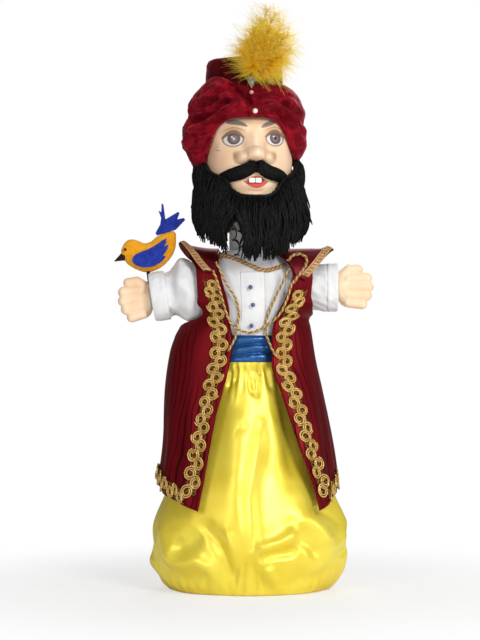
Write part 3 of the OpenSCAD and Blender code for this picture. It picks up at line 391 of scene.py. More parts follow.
def velvet(name, light, dark, patch):
    material, paint, shader = surface(
        name, metallic=0.25, specular=0.08, specular_tint=(1.0, 0.3, 0.35), sheen_weight=0.55,
        sheen_roughness=0.3, sheen_tint=(1.0, 0.12, 0.18))
    pile = paint.use(PILE, {"Place": paint.solid_place(), "Patch": patch, "Fibre": 2400.0}).outputs
    paint.link(paint.mix(pile["Crush"], dark, light), shader["Base Color"])
    paint.link(paint.math("MULTIPLY_ADD", pile["Crush"], -0.16, 0.50), shader["Roughness"])
    paint.link(paint.bump(pile["Height"], 0.5, 1.0), shader["Normal"])
    return material


def felt_cloth(name, light, dark):
    material, paint, shader = surface(name, roughness=0.95, specular=0.08, sheen_weight=0.12)
    pile = paint.use(PILE, {"Place": paint.solid_place(), "Patch": 160.0, "Fibre": 1500.0}).outputs
    paint.link(paint.mix(pile["Height"], dark, light), shader["Base Color"])
    paint.link(paint.bump(pile["Height"], 0.6, 0.5), shader["Normal"])
    return material


def thread(name, light, dark, roughness, metallic, plies, turns, specular=0.3):
    """A spun strand whose plies wind round it."""
    material, paint, shader = surface(name, metallic=metallic, specular=specular)
    values = {"Place": paint.cloth_place(), "Plies": plies, "Turns": turns}
    twist = paint.use(TWIST, values).outputs["Height"]
    tone = uneven(paint, paint.solid_place(), 120.0, light, dark)
    # The grooves between the plies are painted darker than the thread: painted shade.
    grooves = paint.grey_ramp(twist, 0.0, 0.7)
    groove_shade = tuple(0.55 * c for c in dark)
    paint.link(paint.mix(grooves, groove_shade, tone), shader["Base Color"])
    paint.link(paint.math("MULTIPLY_ADD", grooves, -0.1, roughness + 0.1), shader["Roughness"])
    paint.link(paint.bump(twist, 0.6, 0.25), shader["Normal"])
    return material


def polished(name, light, dark, roughness, metallic=0.0, coat=0.0, scale=400.0):
    """A smooth hard finish with faint clouds and fine scratches."""
    material, paint, shader = surface(name, metallic=metallic, coat_weight=coat)
    place = paint.solid_place()
    scratch = paint.noise(paint.scaled(place, 300.0, 4000.0, 900.0), 1.0, 2.0)
    paint.link(uneven(paint, place, scale, light, dark), shader["Base Color"])
    paint.link(paint.math("MULTIPLY_ADD", scratch, 0.12, roughness), shader["Roughness"])
    paint.link(paint.bump(scratch, 0.05, 0.05), shader["Normal"])
    return material


def card():
    material, paint, shader = surface("wound card", roughness=0.9)
    fibres = paint.noise(paint.scaled(paint.solid_place(), 500.0, 500.0, 90.0), 1.0, 4.0)
    shade = paint.ramp(fibres, [(0.3, (0.40, 0.29, 0.18)), (0.7, (0.58, 0.45, 0.30))])
    paint.link(shade, shader["Base Color"])
    paint.link(paint.bump(fibres, 0.3, 0.2), shader["Normal"])
    return material


def feather():
    """Down that is orange at its root and pale at its tips. Place runs along each barb in Y."""
    material, paint, shader = surface(
        "dyed down", roughness=0.8, specular=0.2, subsurface_weight=0.3, subsurface_radius=(1.0, 0.7, 0.15),
        subsurface_scale=0.004)
    parts = paint.parts(paint.cloth_place())
    body = paint.mix(parts["X"], (1.0, 0.42, 0.0), (1.0, 0.70, 0.003))
    shade = paint.mix(paint.grey_ramp(parts["Y"], 0.45, 1.0), body, (1.0, 0.82, 0.08))
    cloud = paint.noise(paint.solid_place(), 300.0, 2.0)
    shade = paint.mix(paint.math("MULTIPLY", cloud, 0.2), shade, (1.0, 0.50, 0.004))
    paint.link(shade, shader["Base Color"])
    return material


SKIN_LIGHT = (0.94, 0.70, 0.48)
SKIN_DARK = (0.88, 0.61, 0.39)


def painted_skin(name, layers):
    """Cast skin with painted spots and strokes, laid one over another. Place is millimetres on the face."""
    material, paint, shader = surface(name, specular=0.35)
    solid = paint.solid_place()
    colour = uneven(paint, solid, 28.0, SKIN_LIGHT, SKIN_DARK)
    if layers:
        place = paint.cloth_place()
        for group, values, shade, strength in layers:
            mask = paint.use(group, {"Place": place, **values}).outputs["Mask"]
            colour = paint.mix(paint.math("MULTIPLY", mask, strength), colour, shade)
    paint.link(colour, shader["Base Color"])
    grain = paint.noise(solid, 900.0, 3.0)
    paint.link(paint.math("MULTIPLY_ADD", grain, 0.12, 0.38), shader["Roughness"])
    paint.link(paint.bump(grain, 0.12, 0.15), shader["Normal"])
    return material


# Helpers for shapes

def sin_d(a):
    return np.sin(np.radians(a))


def cos_d(a):
    return np.cos(np.radians(a))


def mix(a, b, t):
    return a + (b - a) * t


def bell(x, width):
    return np.exp(-(np.asarray(x, float) / width) ** 2)


def smooth(t):
    t = np.clip(t, 0, 1)
    return t * t * (3 - 2 * t)


def signed_power(value, power):
    """A power of the size of a value, which keeps its sign."""
    return np.sign(value) * np.abs(value) ** power


def curve(t, stations):
    """Smooth value at t through [place, value] stations: the same curve as in the part's source."""
    places = np.array([s[0] for s in stations], float)
    values = np.array([s[1] for s in stations], float)
    last = len(places) - 1
    index = np.arange(last + 1)
    before = np.maximum(index - 1, 0)
    after = np.minimum(index + 1, last)
    reach = places[after] - places[before]
    wide = values.ndim == 2
    slopes = (values[after] - values[before]) / (reach[:, None] if wide else reach)
    t = np.asarray(t, float)
    k = np.clip(np.searchsorted(places, t, side="right") - 1, 0, last - 1)
    h = places[k + 1] - places[k]
    u = np.clip((t - places[k]) / h, 0, 1)
    if wide:
        h = h[..., None]
        u = u[..., None]
    return (
        (2 * u**3 - 3 * u**2 + 1) * values[k] + (u**3 - 2 * u**2 + u) * h * slopes[k]
        + (3 * u**2 - 2 * u**3) * values[k + 1] + (u**3 - u**2) * h * slopes[k + 1]
    )


def numbered(route):
    return [[i, point] for i, point in enumerate(route)]


def along_route(route, count):
    """Points on the smooth line through a list of route points."""
    return curve(np.linspace(0, len(route) - 1, count), numbered(route))


def lengths_along(path):
    """Length from the start of a path to each of its points."""
    return np.concatenate([[0], np.cumsum(np.linalg.norm(np.diff(path, axis=0), axis=1))])


def sides_of(path, beside):
    """Two directions square to a path and to each other, at each of its points."""
    ahead = np.gradient(path, axis=0)
    ahead /= np.linalg.norm(ahead, axis=1, keepdims=True)
    side = np.cross(ahead, np.broadcast_to(beside, path.shape))
    side /= np.maximum(np.linalg.norm(side, axis=1, keepdims=True), 1e-6)
    return side, np.cross(side, ahead)


def ring_points(angle, half_w, half_d, z):
    """Points round the upright axis. The angle is 0 at the front and 90 at the viewer's right."""
    return np.stack(np.broadcast_arrays(half_w * sin_d(angle), -half_d * cos_d(angle), z), -1)


def turns_and_rows(rows, cols, first, last):
    """Angles that run round from behind by the viewer's right, and values that run down."""
    angle = np.linspace(180, -180, cols, endpoint=False)[None, :] * np.ones((rows, 1))
    down = np.linspace(first, last, rows)[:, None] * np.ones((1, cols))
    return angle, down


def front_and_back(angle, edge, blend):
    """How far a place belongs to the front and to the back, 0 to 1 each."""
    return smooth((cos_d(angle) - edge) / blend), smooth((-cos_d(angle) - edge) / blend)


def photo_xz(points):
    """Places across and up, in millimetres, of pixels of the photograph."""
    points = np.asarray(points, float)
    return np.stack([(points[..., 0] - PHOTO_X) * PHOTO_MM, (PHOTO_Y - points[..., 1]) * PHOTO_MM], -1)


def outward(grid):
    """Direction square to a grid of points whose columns run to the left at the front and rows downward."""
    normal = np.cross(np.gradient(grid, axis=1), np.gradient(grid, axis=0))
    return normal / np.maximum(np.linalg.norm(normal, axis=-1, keepdims=True), 1e-9)


def lifted(grid, height):
    height = np.asarray(height, float)
    return grid + outward(grid) * (height[..., None] if height.ndim else height)


def stroke_field(x, z, strokes, run_out, end_share, power):
    """Rise or dip of cloth at places across and up, from folds drawn as lines of (points, depth, width).

    A fold fades to a share of its depth over the run-out at both ends. The power shapes its sides."""
    here = np.stack(np.broadcast_arrays(x, z), -1)
    total = np.zeros(here.shape[:-1])
    for points, depth, width in strokes:
        line = along_route(points, 8 * len(points))
        gap = np.full(total.shape, FAR_OFF)
        share = np.zeros_like(gap)
        for i, (a, b) in enumerate(zip(line[:-1], line[1:])):
            step = b - a
            t = np.clip(((here - a) @ step) / (step @ step), 0, 1)
            away = np.linalg.norm(here - a - t[..., None] * step, axis=-1)
            share = np.where(away < gap, (i + t) / (len(line) - 1), share)
            gap = np.minimum(gap, away)
        ends = smooth(share / run_out) * smooth((1 - share) / run_out)
        total += depth * mix(end_share, 1.0, ends) * np.exp(-((gap / width) ** power))
    return total


def photo_creases(x, z, strokes):
    """The rise or dip of folds whose points are pixels of the photograph."""
    placed = [(photo_xz(points), depth, width) for points, depth, width in strokes]
    return stroke_field(x, z, placed, run_out=0.25, end_share=0.25, power=1.6)


def in_scene(name, data):
    made = bpy.data.objects.new(name, data)
    bpy.context.scene.collection.objects.link(made)
    return made


def new_object(name, mesh, material, is_smooth=True):
    mesh.polygons.foreach_set("use_smooth", [is_smooth] * len(mesh.polygons))
    mesh.materials.append(material)
    return in_scene(name, mesh)


def worked_object(name, work, material, is_smooth):
    """An object from a mesh that was worked out, which is then let go."""
    mesh = bpy.data.meshes.new(name)
    work.to_mesh(mesh)
    work.free()
    return new_object(name, mesh, material, is_smooth)


def mesh_piece(name, points, faces, material, loop_uv):
    mesh = bpy.data.meshes.new(name)
    mesh.from_pydata((np.asarray(points, float) * MM).tolist(), [], faces)
    layer = mesh.uv_layers.new(name="Cloth")
    layer.data.foreach_set("uv", np.asarray(loop_uv, float).ravel())
    return new_object(name, mesh, material)


def run_lengths(grid, axis):
    gaps = np.linalg.norm(np.diff(grid, axis=axis), axis=2).mean(axis=1 - axis)
    return np.concatenate([[0], np.cumsum(gaps)]) * MM


def grid_piece(name, grid, material, closed=False, place=None):
    """Cloth through a grid of points. Its Cloth map is metres across and down, or the places given."""
    rows, cols = grid.shape[:2]
    i, j = np.meshgrid(np.arange(rows - 1), np.arange(cols if closed else cols - 1), indexing="ij")
    corners = [(i, j), (i, j + 1), (i + 1, j + 1), (i + 1, j)]
    faces = np.stack([r * cols + c % cols for r, c in corners], -1).reshape(-1, 4)
    if place is None:
        whole = np.concatenate([grid, grid[:, :1]], axis=1) if closed else grid
        across, down = run_lengths(whole, 1), run_lengths(whole, 0)
        uv = np.stack([np.stack([across[c], down[r]], -1) for r, c in corners], 2)
    else:
        uv = np.stack([place[r, c % cols] for r, c in corners], 2)
    return mesh_piece(name, grid.reshape(-1, 3), faces.tolist(), material, uv.reshape(-1, 2))


def modify(piece, label, kind, **settings):
    made = piece.modifiers.new(label, kind)
    for key, value in settings.items():
        setattr(made, key, value)
    return piece


def thicken(piece, thickness):
    """Gives cloth a thickness, inward from its outer face."""
    return modify(piece, "Thickness", "SOLIDIFY", thickness=thickness * MM, offset=-1.0)


# A direction that few strands run along
ACROSS = (0.2, 0.9, 0.3)


class Strands:
    """Many strands gathered into one mesh.

    Its Cloth map is round each strand in X and metres along it in Y. Where a strand has a tone, it is that
    tone in X and the share of its length in Y.
    """

    def __init__(self):
        self.points = []
        self.faces = []
        self.uv = []
        self.shades = []
        self.count = 0

    def add(self, path, radius, sides=5, beside=ACROSS, tone=None, shade=0):
        path = np.asarray(path, float)
        n = len(path)
        side, up = sides_of(path, beside)
        turn = 2 * math.pi * np.arange(sides) / sides
        radius = np.broadcast_to(radius, n)[:, None, None]
        rings = path[:, None] + radius * (
            np.cos(turn)[None, :, None] * side[:, None] + np.sin(turn)[None, :, None] * up[:, None])
        i, j = np.meshgrid(np.arange(n - 1), np.arange(sides), indexing="ij")
        corners = [(i, j), (i + 1, j), (i + 1, j + 1), (i, j + 1)]
        faces = np.stack([r * sides + c % sides for r, c in corners], -1).reshape(-1, 4) + self.count
        along = lengths_along(path) * MM
        if tone is None:
            uv = [np.stack([c / sides, along[r]], -1) for r, c in corners]
        else:
            uv = [np.stack([tone + 0 * r, r / (n - 1)], -1) for r, c in corners]
        uv = np.stack(uv, 2).reshape(-1, 2)
        first = list(range(self.count, self.count + sides))
        last = [self.count + (n - 1) * sides + k for k in range(sides - 1, -1, -1)]
        self.points.append(rings.reshape(-1, 3))
        self.faces += faces.tolist() + [first, last]
        self.shades += [shade] * (len(faces) + 2)
        self.uv.append(np.concatenate([uv, np.zeros((2 * sides, 2))]))
        self.count += n * sides

    def piece(self, name, material, second=None):
        """One piece of all the strands. Those of shade 1 take the second material."""
        made = mesh_piece(name, np.concatenate(self.points), self.faces, material, np.concatenate(self.uv))
        if second:
            made.data.materials.append(second)
            made.data.polygons.foreach_set("material_index", self.shades)
        return made


def twisted(path, plies, reach, pitch, beside=ACROSS):
    """Paths of plies that wind round a path."""
    side, up = sides_of(path, beside)
    along = lengths_along(path)
    for k in range(plies):
        turn = 2 * math.pi * (along / pitch + k / plies)
        yield path + reach * (np.cos(turn)[:, None] * side + np.sin(turn)[:, None] * up)


def named(piece, slot, *nodes):
    """Hides the CAD nodes that a piece stands for; the slot is not used."""
    if nodes:
        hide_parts(*nodes)
    return piece


def put(piece, body, slot, *nodes):
    """Seats a piece on a body."""
    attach(piece, body)
    return named(piece, slot, *nodes)


def put_over_waist(piece, slot, *nodes):
    """Puts a piece's transform into its mesh, without a body, and hides the CAD nodes it stands for."""
    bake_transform(piece)
    return named(piece, slot, *nodes)


# Materials of this puppet

# A name and the light and dark colours come first. Then, for satin, roughness, share of metal and colour of
# the glint; for thread, roughness, share of metal, plies and turns in a metre; for velvet, patches in a
# metre; for polished things, roughness.
YELLOW_SATIN = satin("yellow satin", (0.90, 0.74, 0.07), (0.82, 0.63, 0.04), 0.34, 0.3, (1.0, 0.98, 0.78))
BLUE_SATIN = satin("blue satin", (0.036, 0.14, 0.40), (0.016, 0.065, 0.21), 0.30, 0.5, (0.5, 0.8, 1.0))
COAT_SATIN = moire_satin("watered crimson satin", (0.12, 0.004, 0.007), (0.024, 0.001, 0.002))
COLLAR_SATIN = satin(
    "crimson satin", (0.12, 0.004, 0.007), (0.08, 0.0025, 0.005), 0.42, 0.42, (1.0, 0.2, 0.25))
LINING_COTTON = cotton("cream cotton", (0.80, 0.76, 0.66), (0.70, 0.66, 0.56))
SHIRT_COTTON = cotton("white cotton", (0.79, 0.79, 0.78), (0.71, 0.71, 0.72))
GOLD_CORD = thread("gold cord", (0.90, 0.66, 0.28), (0.76, 0.50, 0.16), 0.34, 0.3, 3.0, 380.0)
# A darker copy of the gold thread, which every other ply of the cords and edgings takes: painted shade that
# makes their twist show.
SHADED_PLY_GOLD = thread("gold thread in painted shade", (0.50, 0.28, 0.08), (0.34, 0.17, 0.04), 0.36, 0.3, 3.0, 380.0)
GOLD_BRAID = thread("gold braid", (1.0, 0.72, 0.27), (0.76, 0.47, 0.11), 0.28, 0.55, 4.0, 520.0)
# Its dark colour is partly the base thread's own and partly painted shade in the gaps between the coils.
BRAID_BASE = thread("dark gold thread", (0.34, 0.18, 0.035), (0.18, 0.08, 0.012), 0.5, 0.2, 3.0, 420.0)
COLLAR_BRAID = thread("pale gold braid", (0.86, 0.58, 0.32), (0.70, 0.40, 0.18), 0.40, 0.2, 4.0, 520.0)
TIE_CORD = thread("cotton tie", (0.78, 0.72, 0.58), (0.62, 0.55, 0.42), 0.8, 0.0, 3.0, 260.0)
BLACK_YARN = thread("black yarn", (0.011, 0.010, 0.010), (0.004, 0.004, 0.004), 0.5, 0.0, 2.0, 150.0, 0.12)
CROWN_VELVET = velvet("maroon velvet", (0.090, 0.004, 0.005), (0.050, 0.002, 0.003), 70.0)
WRAP_VELVET = velvet("crushed crimson velvet", (0.27, 0.007, 0.018), (0.12, 0.003, 0.007), 75.0)
ORANGE_FELT = felt_cloth("orange felt", (0.87, 0.42, 0.025), (0.72, 0.28, 0.008))
BLUE_FELT = felt_cloth("blue felt", (0.028, 0.055, 0.40), (0.012, 0.024, 0.22))
BROWN_FELT = felt_cloth("brown felt", (0.045, 0.016, 0.010), (0.020, 0.006, 0.004))
BLACK_FELT = felt_cloth("black felt", (0.014, 0.013, 0.012), (0.005, 0.005, 0.005))
SILVER = polished("tarnished silver", (0.62, 0.63, 0.58), (0.36, 0.37, 0.33), 0.28, metallic=0.9)
GREY_STONE = polished("grey stone", (0.27, 0.31, 0.27), (0.14, 0.17, 0.15), 0.16, coat=0.4, scale=160.0)
PINK_BEAD = polished("pink bead", (0.62, 0.36, 0.29), (0.45, 0.22, 0.17), 0.24, coat=0.3)
PEARL = polished("pearl", (0.84, 0.80, 0.72), (0.74, 0.68, 0.60), 0.20, coat=0.5)
GOLD_BEAD = polished("gold bead", (0.72, 0.46, 0.10), (0.50, 0.28, 0.05), 0.26, metallic=0.8)
BLUE_BEAD = polished("blue bead", (0.075, 0.105, 0.30), (0.035, 0.05, 0.16), 0.18, coat=0.5)
DARK_BEAD = polished("dark bead", (0.060, 0.016, 0.008), (0.020, 0.006, 0.004), 0.34)
TOOTH_WHITE = polished("tooth white", (0.84, 0.83, 0.78), (0.76, 0.74, 0.68), 0.26, coat=0.2, scale=200.0)
QUILL_CREAM = polished("horn quill", (0.74, 0.66, 0.42), (0.60, 0.48, 0.26), 0.35)
WOUND_CARD = card()
DYED_DOWN = feather()

KEPT_NODES = {
    "neck_tube": WOUND_CARD, "left_socket": WOUND_CARD, "right_socket": WOUND_CARD,
    "shirt_buttons": BLUE_BEAD, "plume_quill": QUILL_CREAM, "brooch_setting": SILVER,
    "brooch_drop": PINK_BEAD, "turban_pearl": PEARL, "turban_bead": GOLD_BEAD, "bird_eyes": DARK_BEAD,
}


def finish_kept_nodes():
    for name, material in KEPT_NODES.items():
        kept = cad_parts[name]
        for place in kept.material_slots:
            place.material = material


# Cords: the routes of the part's source

LEFT_CORD_ROUTE = [
    (-34, -39, 343), (-29, -40, 333), (-24, -40, 322), (-19, -39, 314), (-14, -38.5, 306),
    (-11, -38.5, 296), (-10, -38.5, 287), (-11.5, -39.5, 278), (-13, -41, 269),
    (-13.5, -42.5, 265.8), (-15.5, -45, 261), (-18, -47.2, 256), (-21, -49, 251),
]
RIGHT_CORD_ROUTE = [
    (42, -40, 336), (38, -40, 328), (34, -39.5, 319), (29, -38.5, 309), (24, -38.2, 298),
    (20, -38, 288), (17.5, -38, 280), (17.5, -39, 274), (18.5, -40.5, 269),
    (19, -42, 265.8), (21, -44.5, 260), (24, -46.8, 253), (28, -48.6, 246),
]
SWAG_ROUTE = [
    (-37, -44.5, 334), (-33, -46, 325), (-30, -46.5, 315), (-27, -46.5, 304), (-23.5, -46.5, 292),
    (-19, -46, 281), (-13, -44.5, 274.5), (-6, -43, 271), (2, -42.5, 270), (10, -42.5, 272.5),
    (18, -43, 277), (26, -43.5, 282.5), (33, -44, 290), (38, -44, 300), (42, -43, 311), (45, -42.5, 322),
]
CORD_D = 2.8


def twisted_cord(name, route, *nodes):
    """Gold cord of two twisted plies, which hangs over the shirt and goes back under the coat."""
    plies = 2
    ply_r = 0.8
    twist_pitch = 6.6
    path = along_route(route, 40 * len(route))
    strands = Strands()
    # The second ply takes the darker gold, painted shade of the twist.
    for k, ply in enumerate(twisted(path, plies, CORD_D / 2 - ply_r, twist_pitch)):
        strands.add(ply, ply_r, sides=6, shade=k)
    piece = put_over_waist(strands.piece(name, GOLD_CORD, SHADED_PLY_GOLD), "gold_braid", *nodes)
    length = float(lengths_along(path)[-1]) * MM
    steps = [tuple(p) for p in path[:: len(path) // 36] * MM]


def make_cords():
    twisted_cord("cord_left", LEFT_CORD_ROUTE, "left_cord", "left_cord_end")
    twisted_cord("cord_right", RIGHT_CORD_ROUTE, "right_cord", "right_cord_end")
    twisted_cord("cord_swag", SWAG_ROUTE, "swag_cord")


# Skirt

WAIST_Z = 267
SKIRT_TOP = 239
SKIRT_HALF_W = 102
# Half width by level from the floor to the skirt's top, as a share of the fullest
SKIRT_PROFILE = [
    (0, 0.80), (0.04, 0.90), (0.10, 0.965), (0.20, 1), (0.30, 0.97), (0.42, 0.86),
    (0.58, 0.70), (0.75, 0.55), (0.90, 0.44), (1, 0.40),
]
SKIRT_DEPTH_SHARE = 0.78
HEM_R = 50

# Main folds of the satin, on the lines of the part's source but a little fuller: lines of (side, height),
# a share of the depth and a width
FOLD_DEPTH = 4
SKIRT_FOLDS = [
    ([(12, 176), (10, 154), (1, 106), (3, 64), (1, 8)], -1.3, 8),
    ([(36, 196), (43, 158), (47, 116)], -1.5, 10),
    ([(-9, 200), (-11, 148), (-13, 96)], 1, 14),
    ([(-44, 71), (-30, 52), (-21, 35), (-18, 23), (-23, 4)], -2, 7),
    ([(-90, 64), (-82, 42), (-71, 33), (-53, 35), (-41, 25), (-37, 6)], 1.8, 8),
    ([(-50, 67), (-65, 52), (-80, 52)], -1.5, 10),
    ([(-84, 25), (-65, 17), (-46, 21), (-41, 2)], -1.3, 7),
    ([(6, 46), (16, 51), (31, 56), (43, 64), (52, 75)], 1.6, 7),
    ([(14, 43), (29, 45), (43, 46), (54, 53)], -1.7, 6),
    ([(17, 33), (22, 21), (31, 6)], 1.5, 6),
    ([(45, 6), (52, 15), (70, 17), (95, 27)], -1, 7),
    ([(52, 87), (74, 67), (87, 48)], 1.3, 8),
    ([(45, 73), (64, 52), (74, 37)], -1.2, 7),
]

# Small creases, as lines of the photograph's pixels, a rise and a width
SKIRT_CREASES = [
    ([(268, 400), (272, 440), (274, 480)], 2.4, 10),
    ([(246, 364), (249, 384), (255, 396)], -3, 2.5),
    ([(252, 363), (256, 380), (258, 400)], -3, 2.5),
    ([(257, 364), (260, 376)], -2.5, 2.5),
    ([(264, 363), (268, 378), (272, 392)], -3, 2.5),
    ([(238, 366), (234, 384)], -3, 2.5),
    ([(232, 368), (228, 390)], -3, 2.5),
    ([(236, 424), (243, 427), (249, 421)], -1.3, 6),
    ([(310, 505), (330, 515), (345, 530)], -3, 4),
    ([(226, 520), (232, 545), (238, 575)], 2.5, 5),
    ([(234, 590), (236, 572), (240, 556)], -2.5, 2.5),
    ([(243, 592), (243, 572), (245, 552)], -2.5, 2.5),
    ([(257, 592), (255, 576), (253, 562)], -2.5, 2.5),
    ([(265, 592), (261, 578), (258, 566)], -2, 2.5),
]


def crumple(across, up, seed, count, length, sharp=1.0):
    """Creases from a count of waves of about the given length that cross each other, about -1 to 1.

    They are rounded where sharp is 0 and pointed where it is 1."""
    draw = random.Random(seed)
    total = np.zeros(np.broadcast_shapes(np.shape(across), np.shape(up)))
    for _ in range(count):
        turn = draw.uniform(0, math.pi)
        stretch = 2 * math.pi / (length * draw.uniform(0.6, 1.6))
        phase = draw.uniform(0, 6.3)
        bend = 0.8 * np.sin(up / length * draw.uniform(0.7, 1.3) + phase)
        wave = np.sin(stretch * (across * math.cos(turn) + up * math.sin(turn)) + phase + bend)
        total += mix(wave, 1 - 2 * np.abs(wave), sharp)
    return total / count


def fold_lines(across, up):
    """Rise or dip of the main folds at places on one side of the skirt."""
    return stroke_field(across, up, SKIRT_FOLDS, run_out=0.3, end_share=0.4, power=2)


def skirt_folds(a, level, width):
    """Main folds: flutes all round, and the drawn folds, which the back and the sides repeat."""
    x = width * sin_d(a)
    z = SKIRT_TOP * level
    front, back = front_and_back(a, 0.1, 0.5)
    aside = np.sign(a) * (62 + SKIRT_HALF_W * SKIRT_DEPTH_SHARE * np.radians(np.abs(a) - 90))
    fluted = (1 - 0.75 * level) * (0.6 * cos_d(8 * a + 150 * level) + 0.4 * cos_d(5 * a - 60))
    drawn = (front * fold_lines(x, z) + back * fold_lines(8 - x, z - 4)
             + 0.5 * (1 - front - back) * fold_lines(aside, z + 6))
    gathered = mix(0.25, 1, np.minimum(1, z / 22))
    return FOLD_DEPTH * ((1 - 0.7 * front) * fluted + gathered * drawn)


def skirt_surface(a, level):
    width = SKIRT_HALF_W * curve(level, SKIRT_PROFILE)
    depth = width * mix(SKIRT_DEPTH_SHARE, 0.93, level)
    grow = 1 + skirt_folds(a, level, width) / width
    return ring_points(a, width * grow, depth * grow, SKIRT_TOP * level)


def skirt_height(a, level, points):
    """How far the satin's small creases stand off its main folds."""
    x, z = points[..., 0], points[..., 2]
    around = np.radians(a) * SKIRT_HALF_W * 0.8
    front, back = front_and_back(a, 0.1, 0.5)
    height = front * photo_creases(x, z, SKIRT_CREASES)
    height += back * photo_creases(8 - 0.9 * x, z - 4, SKIRT_CREASES)
    irregular = 0.65 + 0.35 * cos_d(7 * a + 30)
    waist_gathers, hem_gathers = 31, 43
    height += 1.5 * irregular * cos_d(waist_gathers * a + 60 * cos_d(3 * a)) * smooth((level - 0.80) / 0.2)
    height += 1.2 * irregular * cos_d(hem_gathers * a + 50 * cos_d(4 * a)) * smooth((0.10 - level) / 0.1)
    height += 0.9 * crumple(around, z, seed=5, count=5, length=70, sharp=0.0)
    hold = smooth(level / 0.05) * smooth((1.004 - level) / 0.05)
    return height * mix(0.25, 1.0, hold)


def make_skirt():
    floor_gap = 0.15
    angle, level = turns_and_rows(150, 400, 1, 0)
    plain = skirt_surface(angle, level)
    cloth = lifted(plain, skirt_height(angle, level, plain))
    cloth[..., 2] = np.maximum(cloth[..., 2], floor_gap)
    seat_r = HEM_R + 9
    seat = ring_points(angle[-1], seat_r, seat_r, 0.0)
    under = []
    for share in (0.25, 0.6, 1.0):
        ring = mix(cloth[-1], seat, share)
        ring[:, 2] = floor_gap + 1.2 * share
        under.append(ring)
    up_inside = under[-1] + np.array([0, 0, 12.0])
    cloth = np.concatenate([cloth, np.stack(under), up_inside[None]])
    piece = grid_piece("skirt_yellow_satin", cloth, YELLOW_SATIN, closed=True)
    put(piece, "skirt", "yellow_satin", "skirt_satin")


def revolved(name, outline, material, wave=0.0, waves=9):
    """Cloth or band turned round the upright axis, from (radius, height) points that run down its outside."""
    angle = np.linspace(180, -180, 120, endpoint=False)
    rings = []
    for r, z in outline:
        reach = r + wave * cos_d(waves * angle)
        rings.append(ring_points(angle, reach, reach, z))
    return grid_piece(name, np.stack(rings), material, closed=True)


def make_lining():
    outline = [(mix(30.2, HEM_R + 1.5, t), mix(266, 8, t)) for t in np.linspace(0, 1, 30)]
    piece = thicken(revolved("lining_cream_cotton", outline, LINING_COTTON, wave=0.1, waves=14), 1.4)
    put(piece, "skirt", "lining_cotton", "skirt_lining")
    band = [(0.2, 7.6), (3, 8), (6, 7.4), (7, 6), (7, 2), (6, 0.4), (3, 0.05), (0.2, 0.4), (0, 2), (0, 6),
            (0.2, 7.6)]
    hem = revolved("hem_cream_band", [(HEM_R + out, z) for out, z in band], LINING_COTTON)
    modify(hem, "Smooth", "SUBSURF", levels=1, render_levels=1)
    put(hem, "skirt", "lining_cotton", "hem_band")


def make_sash():
    pleats = 3
    foot_z = SKIRT_TOP - 1.5
    angle, t = turns_and_rows(54, 240, 0, 1)
    slant = 0.05 * sin_d(2 * angle) + 0.03 * sin_d(5 * angle + 40)
    pleat = np.abs(np.sin(math.pi * pleats * (t + slant * np.sin(math.pi * t))))
    ripple = crumple(angle * 0.75, t * 28, seed=21, count=6, length=10)
    swell = 3.0 * pleat**0.7 - 2.4 + 1.5 * (1 - t) + 0.35 * ripple
    z = mix(WAIST_Z, foot_z, t)
    outer = ring_points(angle, 44.5 + swell, 38 + swell, z)
    inner = [ring_points(angle[:1], 40.8, 34.3, end_z) for end_z in (foot_z, WAIST_Z - 0.4)]
    grid = np.concatenate([outer, *inner, outer[:1]])
    piece = grid_piece("sash_blue_satin", grid, BLUE_SATIN, closed=True)
    put(piece, "skirt", "blue_satin", "sash")


# Coat: one sheet for each front and one for the back, from the shoulders to the hem

# Below the waist, by height: half widths, half depth and the places of the front edges, then the hems
COAT_LEFT_W = [(85, 99), (120, 96), (153, 92), (210, 89), (249, 83), (267, 77)]
COAT_RIGHT_W = [(85, 97), (120, 93), (166, 86), (212, 77), (240, 71), (267, 67)]
COAT_D = [(85, 90), (120, 78), (166, 66), (212, 55), (240, 48), (267, 44)]
LEFT_EDGE_X = [(85, -54), (121, -46), (153, -40), (186, -33), (204, -28), (227, -22), (250, -17), (267, -17)]
RIGHT_EDGE_X = [(85, 74), (109, 68), (138, 57), (172, 46), (203, 36), (232, 25), (260, 24), (267, 24)]
FRONT_HEM_Z, LEFT_SIDE_HEM_Z, RIGHT_SIDE_HEM_Z, BACK_HEM_Z = 88, 118, 110, 106
# Angle of the side seams, and the power that makes the coat squarer towards the waist
SIDE_SEAM = 89.6
SQUARENESS = 0.85
# Steps 0 to 12 run from the shoulder ridge to the waist, and each later step is 10 mm lower. By step: height
# and half depth, half widths, angles of the armholes and distances of the front edges from the middle.
COAT_PATH = [
    (0, (355.2, 0)), (1, (354, 12)), (2, (351, 24)), (3, (346, 33)), (4, (338, 39)), (5, (329, 41.8)),
    (6, (318, 42.8)), (7, (308, 43)), (8, (299, 43)), (9, (291.5, 43.2)), (10, (285, 43.4)),
    (11, (276, 43.7)), (12, (267, 44)),
]
UPPER_LEFT_W = [(0, 90), (7, 90), (8, 90), (9, 77), (10, 67.5), (11, 72), (12, 77)]
UPPER_RIGHT_W = [(0, 90), (7, 90), (8, 90), (9, 76), (10, 64.5), (11, 65.5), (12, 67)]
LEFT_ARMHOLE = [(0, 47), (3, 42), (4, 38), (5, 37), (8, 36), (9, 38), (10, 50), (11, 87.4), (12, 89)]
RIGHT_ARMHOLE = [(0, 47), (3, 47), (4, 47.5), (5, 48), (8, 48), (9, 62), (10, 87.4), (12, 89)]
LEFT_BACK_ARMHOLE = [(0, 47), (3, 42), (4, 37), (5, 35), (8, 35), (9, 38), (10, 50), (11, 87.4), (12, 89)]
RIGHT_BACK_ARMHOLE = [(0, 47), (3, 47), (5, 47), (8, 47), (9, 60), (10, 87.4), (12, 89)]
